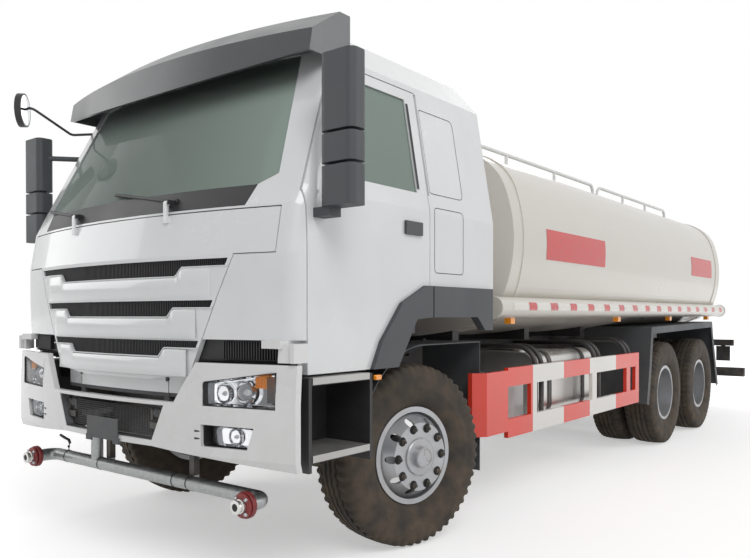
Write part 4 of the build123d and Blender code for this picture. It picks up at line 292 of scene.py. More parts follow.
class Shape:
    """Vertices and faces gathered for one piece."""

    def __init__(self):
        self.points = []
        self.faces = []

    def add(self, points, faces):
        start = len(self.points)
        self.points += [Vector(p) for p in points]
        self.faces += [tuple(start + i for i in f) for f in faces]

    def box(self, x, y, z, spin=None, about=None):
        """Box between (low, high) pairs, y in stations; spin is a matrix applied about a point."""
        points = [Vector((px, sy(py), pz)) for px in x for py in y for pz in z]
        if spin:
            points = [about + spin @ (p - about) for p in points]
        self.add(points, [(0, 1, 3, 2), (4, 6, 7, 5), (0, 4, 5, 1), (2, 3, 7, 6), (0, 2, 6, 4), (1, 5, 7, 3)])

    def lathe(self, profile, centre, axis, count=32, close=False):
        """(radius, offset) points turned about an axis through a centre."""
        axis = Vector(axis).normalized()
        up = Vector((0, 0, 1)) if abs(axis.z) < 0.9 else Vector((0, 1, 0))
        first = axis.cross(up).normalized()
        second = axis.cross(first)
        rows = []
        for i in range(count):
            a = 2 * pi * i / count
            ray = first * cos(a) + second * sin(a)
            rows += [Vector(centre) + axis * w + ray * r for r, w in profile]
        n = len(profile)
        faces = []
        for i in range(count):
            j = (i + 1) % count
            steps = n if close else n - 1
            for k in range(steps):
                m = (k + 1) % n
                faces.append((i * n + k, i * n + m, j * n + m, j * n + k))
        self.add(rows, faces)

    def disc(self, centre, axis, radius, thick, count=24):
        """Short closed cylinder from a centre along an axis."""
        self.lathe([(0.0, 0.0), (radius, 0.0), (radius, thick * 0.8), (radius * 0.94, thick), (0.0, thick)],
                   centre, axis, count)

    def pipe(self, points, radius, count=12):
        """Round tube through row-frame points, closed at its ends."""
        points = [Vector(p) for p in points]
        rings = []
        for i, p in enumerate(points):
            ahead = points[min(i + 1, len(points) - 1)] - points[max(i - 1, 0)]
            ahead.normalize()
            side = ahead.cross(Vector((0, 0, 1)))
            if side.length < 0.1:
                side = ahead.cross(Vector((1, 0, 0)))
            side.normalize()
            up = side.cross(ahead)
            rings += [p + (side * cos(2 * pi * k / count) + up * sin(2 * pi * k / count)) * radius
                      for k in range(count)]
        faces = []
        for i in range(len(points) - 1):
            for k in range(count):
                m = (k + 1) % count
                faces.append((i * count + k, i * count + m, (i + 1) * count + m, (i + 1) * count + k))
        faces.append(tuple(range(count)))
        faces.append(tuple((len(points) - 1) * count + k for k in reversed(range(count))))
        self.add(rings, faces)

    def grid(self, rows):
        """Quads over rows of points, all rows as long."""
        width = len(rows[0])
        points = [p for row in rows for p in row]
        faces = [(i * width + k, i * width + k + 1, (i + 1) * width + k + 1, (i + 1) * width + k)
                 for i in range(len(rows) - 1) for k in range(width - 1)]
        self.add(points, faces)


def piece(name, shape, material, body, bevel=0.0, smooth=False, replaces=()):
    """Object from a gathered shape, riding on a body."""
    mesh = bpy.data.meshes.new(name)
    mesh.from_pydata([tuple(p) for p in shape.points], [], shape.faces)
    mesh.validate()
    tool = bmesh.new()
    tool.from_mesh(mesh)
    bmesh.ops.recalc_face_normals(tool, faces=tool.faces)
    tool.to_mesh(mesh)
    tool.free()
    mesh.materials.append(MATS[material])
    obj = bpy.data.objects.new(name, mesh)
    bpy.context.scene.collection.objects.link(obj)
    if bevel:
        rounding = obj.modifiers.new("Edges", "BEVEL")
        rounding.width = bevel
        rounding.segments = 2
        rounding.limit_method = "ANGLE"
    if smooth:
        mesh.shade_smooth()
        mesh.set_sharp_from_angle(angle=radians(40))
    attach(obj, body)
    if replaces:
        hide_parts(*replaces)
    return obj


class Skin:
    """Surface of some CAD nodes, for laying thin things on it."""

    def __init__(self, *names):
        points, faces = [], []
        for name in names:
            mesh = nodes[name].data
            start = len(points)
            points += [v.co.copy() for v in mesh.vertices]
            faces += [[start + i for i in p.vertices] for p in mesh.polygons]
        self.tree = BVHTree.FromPolygons(points, faces)

    def hit(self, start, ray, lift):
        """Point where a ray meets the skin, lifted back towards its start."""
        ray = Vector(ray).normalized()
        found = self.tree.ray_cast(Vector(start), ray)
        if found[0] is None:
            return None
        return found[0] - ray * lift

    def ribbon(self, shape, route, width, ray, start, lift=0.0015, pitch=0.04, closed=False):
        """Strip of a width along a route of row-frame points, laid on the skin along a ray.

        start is the signed distance that the ray begins from, against its direction.
        """
        ray = Vector(ray).normalized()
        route = [Vector(p) for p in route]
        if closed:
            route.append(route[0])
        samples = []
        for a, b in zip(route, route[1:]):
            steps = max(1, ceil((b - a).length / pitch))
            samples += [a.lerp(b, k / steps) for k in range(steps)]
        samples.append(route[-1])
        rows = []
        for i, p in enumerate(samples):
            if closed and i in (0, len(samples) - 1):
                ahead = (samples[1] - samples[0]).normalized() + (samples[-1] - samples[-2]).normalized()
            else:
                before = (p - samples[i - 1]).normalized() if i else Vector((0, 0, 0))
                after = (samples[i + 1] - p).normalized() if i + 1 < len(samples) else Vector((0, 0, 0))
                ahead = before + after
            ahead.normalize()
            side = ahead.cross(ray).normalized() * width / 2
            ends = [self.hit(p + side * s - ray * start, ray, lift) for s in (-1, 1)]
            if None not in ends:
                rows.append(ends)
        if len(rows) > 1:
            shape.grid(rows)


# Tyres

BEAD_R = 0.2845
TYRE_R = 0.535
AROUND = 216
GROOVE_DEPTH = 0.013
GROOVES = [-0.066, -0.022, 0.022, 0.066]
GROOVE_HALF = 0.0055
ZIGZAG = 0.0045
ZIG_COUNT = 54
NOTCH_COUNT = 54
SIDEWALL = [
    # radius, offset
    (BEAD_R, 0.1075), (0.2985, 0.1215), (0.312, 0.1325), (0.33, 0.1395), (0.352, 0.1445), (0.386, 0.148),
    (0.392, 0.1495), (0.402, 0.1495), (0.408, 0.148), (0.44, 0.1475), (0.478, 0.145),
]
SHOULDER = [(0.495, 0.1425), (0.512, 0.1355), (0.524, 0.128)]
CROWN_DROP = 0.007


def crown(offset):
    """Radius of the tread at an offset from the tyre's middle."""
    return TYRE_R - CROWN_DROP * (offset / 0.114) ** 2


def tyre_rows():
    """Rings of a tyre's surface, as (radius, offset) around the wheel."""
    rings = []
    for i in range(AROUND):
        turn = i / AROUND
        wave = abs((turn * ZIG_COUNT) % 1 - 0.5) * 4 - 1
        notched = (turn * NOTCH_COUNT) % 1 < 0.28
        cut = 0.011 if notched else 0.0
        ring = [(r, w) for r, w in SIDEWALL]
        ring += [(r - cut * (r - 0.478) / 0.046, w - cut * 0.5) for r, w in SHOULDER]
        ring.append((crown(0.114) - cut, 0.114))
        edge = 0.0025
        for groove in reversed(GROOVES):
            mid = groove + ZIGZAG * wave
            top_out = crown(mid)
            outer_cut = cut if groove == GROOVES[-1] else 0.0
            inner_cut = cut if groove == GROOVES[0] else 0.0
            ring.append((top_out - outer_cut, mid + GROOVE_HALF + edge))
            ring.append((top_out - GROOVE_DEPTH, mid + GROOVE_HALF))
            ring.append((top_out - GROOVE_DEPTH, mid - GROOVE_HALF))
            ring.append((top_out - inner_cut, mid - GROOVE_HALF - edge))
        ring.append((crown(0.114) - cut, -0.114))
        ring += [(r - cut * (r - 0.478) / 0.046, -(w - cut * 0.5)) for r, w in reversed(SHOULDER)]
        ring += [(r, -w) for r, w in reversed(SIDEWALL)]
        rings.append(ring)
    return rings


TYRE_RINGS = tyre_rows()


def tyre_shape(shape, centre, outward, phase):
    """One treaded tyre about a wheel's axis."""
    axis = Vector(outward)
    up = Vector((0, 0, 1))
    side = axis.cross(up).normalized()
    points = []
    count = len(TYRE_RINGS[0])
    for i, ring in enumerate(TYRE_RINGS):
        a = 2 * pi * i / AROUND + phase
        ray = up * cos(a) + side * sin(a)
        points += [Vector(centre) + axis * w + ray * r for r, w in ring]
    faces = []
    for i in range(AROUND):
        j = (i + 1) % AROUND
        faces += [(i * count + k, i * count + k + 1, j * count + k + 1, j * count + k)
                  for k in range(count - 1)]
        faces.append((i * count + count - 1, i * count, j * count, j * count + count - 1))
    shape.add(points, faces)


WHEELS = []
for hand, side in (("left", 1), ("right", -1)):
    outward = Vector((side * cos(STEER), side * sin(STEER), 0))
    centre = Vector((side * KINGPIN_X, sy(0), AXLE_Z)) + outward * FRONT_REACH
    WHEELS.append((f"front_{hand}", centre, outward, [0.0], side))
    for row, station in zip(("middle", "rear"), TWIN_STATIONS):
        WHEELS.append((f"{row}_{hand}", Vector((side * TWIN_X, sy(station), AXLE_Z)), Vector((side, 0, 0)),
                       [-TWIN_GAP / 2, TWIN_GAP / 2], side))

NUT_CIRCLE = 0.1675
NUT_COUNT = 10
for index, (name, centre, outward, middles, side) in enumerate(WHEELS):
    tyre = Shape()
    for middle in middles:
        tyre_shape(tyre, centre + outward * middle, outward, index * 0.21)
    piece(f"TreadTyre_{name}", tyre, "tyre", f"wheel_{name}", smooth=True,
          replaces=[f"tyre_{name}"])
    up = Vector((0, 0, 1))
    across = outward.cross(up)
    front = len(middles) == 1
    face = FRONT_RIM_FACE if front else TWIN_RIM_FACE
    nuts = Shape()
    nut_seat_shade = Shape()
    for i in range(NUT_COUNT):
        a = 2 * pi * (i + 0.5) / NUT_COUNT
        spot = centre + (up * cos(a) + across * sin(a)) * NUT_CIRCLE + outward * face
        # Thin near-black cup round each nut: painted shade in the nut's seat on the rim
        nut_seat_shade.lathe([(0.0, 0.001), (0.0225, 0.001), (0.0255, 0.003), (0.027, 0.0)], spot, outward, 20)
        nuts.lathe([(0.0, 0.03), (0.009, 0.03), (0.0105, 0.028), (0.0105, 0.018), (0.0155, 0.016),
                    (0.0165, 0.013), (0.0165, 0.001)], spot, outward, 6)
    piece(f"NutSeatShade_{name}", nut_seat_shade, "groove", f"wheel_{name}", smooth=True)
    piece(f"WheelNuts_{name}", nuts, "iron" if front else "rim_steel", f"wheel_{name}", bevel=0.001)
    dress = Shape()
    if front:
        dress.lathe([(0.1085, 0.1727), (0.1085, 0.181), (0.104, 0.186), (0.098, 0.186), (0.096, 0.1727)],
                    centre, outward, 48)
        dress.lathe([(0.058, 0.2147), (0.056, 0.2185), (0.05, 0.2185), (0.048, 0.2147)], centre, outward, 40)
        for i in range(3):
            a = 2 * pi * i / 3
            ray = up * cos(a) + across * sin(a)
            side_ray = ray.cross(outward)
            inner = centre + outward * 0.2147
            dress.add([inner + ray * 0.012 + side_ray * 0.008, inner + ray * 0.045 + side_ray * 0.005,
                       inner + ray * 0.045 - side_ray * 0.005, inner + ray * 0.012 - side_ray * 0.008,
                       inner + ray * 0.014 + side_ray * 0.006 + outward * 0.003,
                       inner + ray * 0.043 + side_ray * 0.003 + outward * 0.003,
                       inner + ray * 0.043 - side_ray * 0.003 + outward * 0.003,
                       inner + ray * 0.014 - side_ray * 0.006 + outward * 0.003],
                      [(4, 5, 6, 7), (0, 1, 5, 4), (1, 2, 6, 5), (2, 3, 7, 6), (3, 0, 4, 7)])
    else:
        dress.lathe([(0.1085, 0.012), (0.1085, 0.03), (0.104, 0.034), (0.1, 0.03)], centre, outward, 48)
    valve_at = centre + up * 0.235 + outward * (face + (0.0 if front else 0.02))
    dress.pipe([valve_at - outward * 0.03, valve_at + outward * 0.012, valve_at + outward * 0.03 - up * 0.01],
               0.004, 8)
    piece(f"HubDress_{name}", dress, "rim_steel", f"wheel_{name}", smooth=True)

# Grille

BARS = [
    # half width, top
    (0.852, 1.632), (0.7608, 1.428), (0.6637, 1.226),
]
BAR_HEIGHT = 0.036
BAR_DROP = 0.046
BAR_STEP = 0.66
BAR_SLANT = 0.038
LID_FOOT = (0.60, 1.036)
LID_CREASE, LID_HEAD, LID_LEAN = 1.652, 1.885, 0.042
LOUVRE_PITCH = 0.0125
LOUVRE_HALF = 0.0022
LOUVRE_END = 0.016


def bar_low(x, half, top):
    """Lower edge of a grille bar at x."""
    step = half * BAR_STEP
    x = abs(x)
    if x <= step - BAR_SLANT:
        return top - BAR_HEIGHT - BAR_DROP
    if x <= step:
        return top - BAR_HEIGHT - BAR_DROP * (step - x) / BAR_SLANT
    return top - BAR_HEIGHT


def lid_face(z):
    """Station of the lid's face on the truck's middle plane at a height."""
    if z <= LID_CREASE:
        return NOSE
    return NOSE + (z - LID_CREASE) / (LID_HEAD - LID_CREASE) * LID_LEAN


louvres = Shape()
bar_frames = Shape()
for half, top in BARS:
    count = int(2 * half / LOUVRE_PITCH)
    for i in range(count):
        x = -half + (i + 0.5) * 2 * half / count
        if abs(x) > half - LOUVRE_END:
            continue
        depth = lid_face(top)
        louvres.box((x - LOUVRE_HALF, x + LOUVRE_HALF), (bowed(x, depth + 0.012), bowed(x, depth + 0.0305)),
                    (bar_low(x, half, top) + 0.0005, top - 0.0005))
    rows = []
    steps = 96
    for i in range(steps + 1):
        x = -half + 2 * half * i / steps
        face = lid_face(top)
        low = bar_low(x, half, top)
        rows.append([(x, sy(bowed(x, face - 0.0006)), low - 0.0055),
                     (x, sy(bowed(x, face - 0.004)), low - 0.0035),
                     (x, sy(bowed(x, face - 0.004)), low + 0.001),
                     (x, sy(bowed(x, face + 0.012)), low + 0.002)])
    bar_frames.grid(rows)
piece("GrilleLouvres", louvres, "black_plastic", "front_lid")
piece("GrilleBarEdges", bar_frames, "cab_paint", "front_lid", smooth=True)

slats = Shape()
SLATS = [
    # upper bar's half width and top, lower bar's half width and top
    (BARS[0], BARS[1]), (BARS[1], BARS[2]), (BARS[2], LID_FOOT),
]
SLAT_MARGIN = 0.009
SLAT_RISE = 0.0065
SLAT_SLOPE = 0.02
SLAT_END = 0.03
SLAT_SHARE = 0.985
for (half_a, top_a), (half_b, top_b) in SLATS:
    half = half_b * SLAT_SHARE
    steps = 110
    rows = []
    for i in range(steps + 1):
        x = -half + 2 * half * i / steps
        end = min(1.0, (half - abs(x)) / SLAT_END)
        high = bar_low(x, half_a, top_a) - SLAT_MARGIN
        low = top_b + SLAT_MARGIN
        row = []
        for z, rise in ((high, 0.0), (high - SLAT_SLOPE * 0.5, 1.0), ((high + low) / 2, 1.1),
                        (low + SLAT_SLOPE, 1.0), (low, 0.0)):
            row.append((x, sy(bowed(x, lid_face(z) - 0.0004 - SLAT_RISE * rise * end)), z))
        rows.append(row)
    slats.grid(rows)
piece("GrilleSlats", slats, "cab_paint", "front_lid", smooth=True)

# Front lamps and bumper trim

BUMPER_FACE = NOSE - 0.047
LAMP = [(0.742, 0.913), (0.742, 1.030), (1.146, 1.088), (1.146, 0.913)]
FOG = [(0.732, 0.716), (0.732, 0.822), (1.033, 0.822), (0.998, 0.716)]
FOG_CLEAR = [(0.808, 0.722), (0.800, 0.816), (1.026, 0.816), (0.992, 0.722)]
BEAMS = [
    # x, height, radius, depth behind the bumper's face
    (0.822, 0.972, 0.042, 0.062), (0.945, 0.982, 0.052, 0.062), (0.905, 0.769, 0.037, 0.046),
]
AMBER_X, AMBER_PITCH, AMBER_HALF = 1.018, 0.0085, 0.0036
FLUTE_X, FLUTE_PITCH, FLUTE_HALF = 1.075, 0.0055, 0.0018
PRONG_X, PRONG_REACH, PRONG_R = 0.694, 0.036, 0.006
PRONG_HEIGHTS = (0.752, 0.788)


def rounded(points, radius, steps=5):
    """Outline with its corners rounded."""
    out = []
    count = len(points)
    for i, p in enumerate(points):
        p = Vector((*p, 0))
        before = (Vector((*points[i - 1], 0)) - p)
        after = (Vector((*points[(i + 1) % count], 0)) - p)
        angle = before.angle(after)
        reach = radius / max(0.2, abs(sin(angle / 2) / cos(angle / 2)))
        cut = min(reach, before.length * 0.45, after.length * 0.45)
        a = p + before.normalized() * cut
        b = p + after.normalized() * cut
        for k in range(steps + 1):
            t = k / steps
            q = a.lerp(p, t).lerp(p.lerp(b, t), t)
            out.append((q.x, q.y))
    return out


def shrunk(points, share):
    """Outline drawn towards its middle."""
    mx = sum(p[0] for p in points) / len(points)
    mz = sum(p[1] for p in points) / len(points)
    return [(mx + (x - mx) * share, mz + (z - mz) * share) for x, z in points]


def inset(points, amount):
    """Outline drawn in by a length, along the lines to its middle."""
    mx = sum(p[0] for p in points) / len(points)
    mz = sum(p[1] for p in points) / len(points)
    out = []
    for x, z in points:
        d = sqrt((x - mx) ** 2 + (z - mz) ** 2)
        k = (d - amount) / d
        out.append((mx + (x - mx) * k, mz + (z - mz) * k))
    return out


def ring_wall(shape, side, loops, station, cap_first=False, cap_last=False):
    """Bands between outline loops; each loop is (outline, depth behind a bowed face)."""
    rows = []
    for outline, depth in loops:
        rows.append([(side * x, sy(bowed(x, station + depth)), z) for x, z in outline])
    count = len(rows[0])
    points = [p for row in rows for p in row]
    faces = []
    for i in range(len(rows) - 1):
        for k in range(count):
            m = (k + 1) % count
            faces.append((i * count + k, i * count + m, (i + 1) * count + m, (i + 1) * count + k))
    if cap_first:
        faces.append(tuple(range(count)))
    if cap_last:
        faces.append(tuple((len(rows) - 1) * count + k for k in range(count)))
    shape.add(points, faces)


def cover(shape, side, outline, station, depth, bulge):
    """Domed sheet over an outline, on the bowed face."""
    loops = [(outline, depth)]
    for share, lift in ((0.8, 0.55), (0.5, 0.85), (0.22, 0.98), (0.05, 1.0)):
        loops.append((shrunk(outline, share), depth - bulge * lift))
    ring_wall(shape, side, loops, station, cap_last=True)


lens = Shape()
buckets = Shape()
bright = Shape()
bulbs = Shape()
ambers = Shape()
rims = Shape()
for side in (-1, 1):
    outline = rounded(LAMP, 0.02)
    fog_clear = rounded(FOG_CLEAR, 0.026)
    fog_all = rounded(FOG, 0.02)
    cover(lens, side, inset(outline, 0.004), BUMPER_FACE, 0.013, 0.006)
    cover(lens, side, inset(fog_clear, 0.003), BUMPER_FACE, 0.016, 0.006)
    ring_wall(rims, side, [(inset(outline, -0.001), 0.003), (inset(outline, 0.004), 0.003),
                           (inset(outline, 0.006), 0.012), (inset(outline, 0.006), 0.03)], BUMPER_FACE)
    ring_wall(buckets, side, [(inset(outline, 0.0), 0.02), (inset(outline, 0.012), 0.09)], BUMPER_FACE,
              cap_last=True)
    ring_wall(buckets, side, [(fog_all, 0.018), (inset(fog_all, 0.006), 0.05), (inset(fog_all, 0.01), 0.07)],
              BUMPER_FACE, cap_last=True)
    ring_wall(bright, side, [(inset(outline, 0.008), 0.03), (inset(outline, 0.022), 0.055),
                             (inset(outline, 0.03), 0.06)], BUMPER_FACE, cap_last=True)
    ring_wall(bright, side, [(inset(fog_clear, 0.004), 0.026), (inset(fog_clear, 0.018), 0.045)], BUMPER_FACE,
              cap_last=True)
    for x, z, radius, back in BEAMS:
        at = Vector((side * x, sy(bowed(x, BUMPER_FACE + back)), z))
        bright.lathe([(radius + 0.006, -0.004), (radius + 0.004, 0.016), (radius, 0.016),
                      (radius * 0.92, 0.006), (radius * 0.55, -0.014), (radius * 0.2, -0.02), (0.0, -0.02)],
                     at, (0, -1, 0), 36)
        bulbs.lathe([(0.0, 0.018), (radius * 0.14, 0.016), (radius * 0.26, 0.006), (radius * 0.3, -0.004),
                     (radius * 0.2, -0.02)], at, (0, -1, 0), 24)
    for i in range(7):
        x = AMBER_X + i * AMBER_PITCH
        top = 1.062 + (x - AMBER_X) * 0.12
        ambers.box((x * side - AMBER_HALF, x * side + AMBER_HALF),
                   (bowed(x, BUMPER_FACE + 0.034), bowed(x, BUMPER_FACE + 0.052)), (1.008, top))
    for i in range(9):
        x = FLUTE_X + i * FLUTE_PITCH
        bright.box((x * side - FLUTE_HALF, x * side + FLUTE_HALF),
                   (bowed(x, BUMPER_FACE + 0.036), bowed(x, BUMPER_FACE + 0.056)), (0.94, 1.06))
    for z in PRONG_HEIGHTS:
        tip = PRONG_X + PRONG_REACH
        rims.pipe([(side * PRONG_X, sy(bowed(PRONG_X, BUMPER_FACE + 0.002)), z),
                   (side * tip, sy(bowed(tip, BUMPER_FACE + PRONG_R)), z)], PRONG_R, 8)
piece("LampCovers", lens, "lens", "chassis", smooth=True, replaces=["front_lamps"])
piece("LampBuckets", buckets, "black_plastic", "chassis", smooth=True)
piece("LampRims", rims, "black_plastic", "chassis", smooth=True)
piece("LampReflectors", bright, "chrome", "chassis", smooth=True)
piece("LampBulbs", bulbs, "bulb", "chassis", smooth=True)
piece("IndicatorLenses", ambers, "amber", "chassis", bevel=0.001)

INTAKE = [(-0.406, 0.716), (-0.487, 0.899), (0.487, 0.899), (0.406, 0.716)]
intake = Shape()
intake_loop = rounded(INTAKE, 0.03)
ring_wall(intake, 1, [(inset(intake_loop, -0.002), 0.002), (inset(intake_loop, 0.006), 0.004),
                      (inset(intake_loop, 0.012), 0.03), (inset(intake_loop, 0.02), 0.045)], BUMPER_FACE)
piece("IntakeSurround", intake, "grey_plastic", "chassis", smooth=True)
mesh_bars = Shape()
for i in range(75):
    x = -0.47 + i * 0.94 / 74
    top = 0.875
    low = 0.73 if abs(x) < 0.389 else 0.73 + (abs(x) - 0.389) * 2.2
    if low < top - 0.01:
        mesh_bars.box((x - 0.0016, x + 0.0016),
                      (bowed(x, BUMPER_FACE + 0.042), bowed(x, BUMPER_FACE + 0.046)), (low, top))
for i in range(13):
    z = 0.732 + i * 0.0117
    reach = 0.389 + (z - 0.73) * 0.45
    rows = []
    for k in range(41):
        x = -reach + 2 * reach * k / 40
        y = sy(bowed(x, BUMPER_FACE + 0.0405))
        rows.append([(x, y, z - 0.0016), (x, y - 0.001, z), (x, y, z + 0.0016)])
    mesh_bars.grid(rows)
piece("IntakeMesh", mesh_bars, "black_plastic", "chassis")

slot_ribs = Shape()
slot_back = Shape()
for side in (-1, 1):
    rows = []
    for k in range(21):
        x = 0.64 + (1.148 - 0.64) * k / 20
        y = sy(bowed(x, NOSE + 0.046))
        rows.append([(side * x, y - 0.02, 1.128), (side * x, y, 1.134), (side * x, y, 1.234)])
    slot_back.grid(rows)
    for k in range(22):
        x = 0.80 + k * 0.0145
        slot_ribs.box(sorted((side * x, side * (x + 0.006))),
                      (bowed(x, NOSE + 0.024), bowed(x, NOSE + 0.046)), (1.14, 1.226))
piece("CornerSlots", slot_back, "black_plastic", "cab")
piece("CornerSlotRibs", slot_ribs, "black_plastic", "cab", bevel=0.001)

# Tank marks

RED_BLOCKS = [
    # front station, rear station, foot, head
    (1.65, 2.88, 1.77, 2.0), (5.67, 6.6, 1.81, 2.03),
]
BLOCK_START, BLOCK_LIFT = 1.45, 0.0016
tank_skin = Skin("water_tank")
blocks = Shape()
for side in (-1, 1):
    for y0, y1, z0, z1 in RED_BLOCKS:
        rows = []
        for i in range(33):
            y = y0 + (y1 - y0) * i / 32
            starts = [(side * BLOCK_START, sy(y), z0 + (z1 - z0) * k / 10) for k in range(11)]
            row = [tank_skin.hit(start, (-side, 0, 0), BLOCK_LIFT) for start in starts]
            rows.append(row)
        blocks.grid(rows)
piece("TankRedBlocks", blocks, "red_paint", "chassis", smooth=True)

TUBE_X, TUBE_Z, TUBE_R = 1.161, 1.405, 0.0756
TAPE_START, TAPE_PITCH, TAPE_COUNT = 1.02, 0.37, 16
tape = Shape()
tape_red = Shape()
for side in (-1, 1):
    for i in range(TAPE_COUNT):
        y0 = TAPE_START + i * TAPE_PITCH
        for shape, start, length in ((tape, 0.0, 0.235), (tape_red, 0.24, 0.125)):
            rows = []
            for k in range(3):
                y = y0 + start + length * k / 2
                row = []
                for m in range(5):
                    a = radians(-14 + 44 * m / 4)
                    row.append((side * (TUBE_X + cos(a) * TUBE_R), sy(y), TUBE_Z + sin(a) * TUBE_R))
                rows.append(row)
            shape.grid(rows)
piece("HoseTubeTape", tape, "white_tape", "chassis", smooth=True)
piece("HoseTubeTapeRed", tape_red, "red_tape", "chassis", smooth=True)

caps = Shape()
for side in (-1, 1):
    for station, way in ((0.85, -1), (7.125, 1)):
        caps.lathe([(0.0775, 0.0), (0.0775, 0.012), (0.074, 0.0165), (0.02, 0.0165), (0.0, 0.0165)],
                   (side * TUBE_X, sy(station) - way * 0.0155, TUBE_Z), (0, way, 0), 40)
piece("HoseTubeCaps", caps, "tank_paint", "chassis", smooth=True)

# Seats and bunk


def cushion(name, x, y, z, body, pinch=0.012, seams=()):
    """Crowned closed pad between (low, high) pairs, y in stations, with sewn channels across it."""
    shape = Shape()
    nx, ny = 22, 20
    points = []
    for level in (0, 1):
        for i in range(nx + 1):
            for j in range(ny + 1):
                u, v = i / nx * 2 - 1, j / ny * 2 - 1
                edge = (1 - abs(u) ** 6) * (1 - abs(v) ** 6)
                pull_x = 1 - pinch * (1 - v * v) * 0.6 * abs(u) ** 4
                pull_y = 1 - pinch * (1 - u * u) * 0.6 * abs(v) ** 4
                px = (x[0] + x[1]) / 2 + u * (x[1] - x[0]) / 2 * pull_x
                py = (y[0] + y[1]) / 2 + v * (y[1] - y[0]) / 2 * pull_y
                dip = sum(0.012 * max(0.0, 1 - abs(u - s) / 0.07) for s in seams)
                middle = (z[0] + z[1]) / 2
                if level:
                    pz = middle + (z[1] - middle) * (0.35 + 0.65 * edge ** 0.35) - dip * edge
                else:
                    pz = middle - (middle - z[0]) * (0.55 + 0.45 * edge ** 0.35)
                points.append(Vector((px, sy(py), pz)))
    faces = []
    row = ny + 1
    layer = (nx + 1) * row
    for i in range(nx):
        for j in range(ny):
            a = i * row + j
            faces.append((a, a + 1, a + row + 1, a + row))
            b = layer + a
            faces.append((b, b + row, b + row + 1, b + 1))
    for i in range(nx):
        for j in (0, ny):
            a = i * row + j
            faces.append((a, a + row, layer + a + row, layer + a))
    for j in range(ny):
        for i in (0, nx):
            a = i * row + j
            faces.append((a, a + 1, layer + a + 1, layer + a))
    shape.add(points, faces)
    obj = piece(name, shape, "seat_cloth", body, smooth=True)
    rounding = obj.modifiers.new("Round", "SUBSURF")
    rounding.levels = 1
    rounding.render_levels = 1
    return obj


first_pad = None
for side, hand in ((1, "left"), (-1, "right")):
    x = 0.64 * side
    pad = cushion(f"Cushion_{hand}", (x - 0.25, x + 0.25), (-0.635, -0.145), (1.548, 1.663), "cab",
                  seams=(-0.62, 0.62))
    if first_pad is None:
        first_pad = pad
        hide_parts("seats")
    back = cushion(f"Backrest_{hand}", (x - 0.245, x + 0.245), (-0.72, -0.15), (1.55, 1.655), "cab",
                   seams=(-0.62, 0.62))
    mesh = back.data
    base = Vector((x, sy(-0.15), 1.675))
    pivot = Vector((x, sy(-0.15), 1.60))
    turn = Matrix.Rotation(radians(-79), 4, "X")
    lift = Matrix.Translation(base + Vector((0, -0.045, 0.01)))
    mesh.transform(lift @ turn @ Matrix.Translation(-pivot))
    cushion(f"HeadRest_{hand}", (x - 0.13, x + 0.13), (-0.11, -0.02), (2.255, 2.37), "cab")
cushion("BunkMattress", (-1.14, 1.14), (0.055, 0.70), (1.523, 1.648), "cab", seams=(-0.5, 0.0, 0.5))

# Front trims: the step panel's white face, the plate bracket and the spray bar's fittings

STEP_HALF = 0.566
STEP_LOW, STEP_TOP = 0.95, 1.0435
STEP_BACK = sy(-1.24)
panel_skin = Skin("cab_floor")
panel = Shape()
rows = []
for i in range(49):
    x = -STEP_HALF + 2 * STEP_HALF * i / 48
    row = [panel_skin.hit((x, sy(-2.0), STEP_LOW + (STEP_TOP - STEP_LOW) * k / 8), (0, 1, 0), 0.0015)
           for k in range(9)]
    rows.append([p for p in row if p is not None and p.y < STEP_BACK])
longest = max(len(row) for row in rows)
rows = [row for row in rows if len(row) == longest]
if len(rows) > 1 and longest > 1:
    panel.grid(rows)
    piece("StepPanelFace", panel, "cab_paint", "cab", smooth=True)
panel_screws = Shape()
for side in (-1, 1):
    spot = panel_skin.hit((side * 0.40, sy(-2.0), 1.02), (0, 1, 0), 0.0015)
    if spot is not None:
        panel_screws.disc(spot, (0, -1, 0), 0.012, 0.004)
piece("StepPanelScrews", panel_screws, "black_plastic", "cab", smooth=True)

PLATE_HALF = 0.1455
PLATE_FRONT, PLATE_BACK = -1.4008, -1.3925
PLATE_FOOT, PLATE_TOP = 0.6835, 0.8025
bracket = Shape()
bracket.box((-PLATE_HALF, PLATE_HALF), (PLATE_FRONT, PLATE_BACK), (PLATE_FOOT, PLATE_TOP))
for side in (-1, 1):
    bracket.box(sorted((side * 0.10, side * 0.155)), (PLATE_FRONT - 0.001, PLATE_BACK), (0.667, 0.70))
piece("PlateBracket", bracket, "grey_plastic", "chassis", bevel=0.002)

BAR_Y, BAR_Z, BAR_R = -1.118, 0.452, 0.038
NOZZLE_X, NOZZLE_Y = 0.967, -1.262
flanges = Shape()
sleeves = Shape()
bolts = Shape()
joint_rings_and_mouth_shade = Shape()
for side in (-1, 1):
    root = Vector((side * NOZZLE_X, sy(NOZZLE_Y), BAR_Z))
    flanges.lathe([(0.04, -0.026), (0.0625, -0.026), (0.065, -0.022), (0.065, -0.002), (0.0625, 0.001),
                   (0.04, 0.001)], root, (0, -1, 0), 36)
    flanges.lathe([(0.031, 0.004), (0.057, 0.004), (0.0595, 0.007), (0.0595, 0.015), (0.056, 0.018),
                   (0.031, 0.02)], root, (0, -1, 0), 36)
    sleeves.lathe([(0.0305, 0.02), (0.0345, 0.023), (0.0345, 0.034), (0.031, 0.037), (0.031, 0.047),
                   (0.034, 0.049), (0.034, 0.0595), (0.031, 0.0608), (0.0185, 0.0608)],
                  root, (0, -1, 0), 36)
    # Thin near-black disc in each nozzle's mouth: painted shade in the bore
    joint_rings_and_mouth_shade.disc(root + Vector((0, -0.0602, 0)), (0, -1, 0), 0.019, 0.0004)
    for i in range(4):
        a = pi * (i + 0.5) / 2
        spot = root + Vector((cos(a) * 0.048, -0.018, sin(a) * 0.048))
        bolts.lathe([(0.0, 0.012), (0.0075, 0.012), (0.0095, 0.009), (0.0095, 0.0)], spot, (0, -1, 0), 6)
piece("SprayFlanges", flanges, "red_iron", "chassis", smooth=True)
piece("SprayNozzles", sleeves, "aluminium", "chassis", smooth=True)
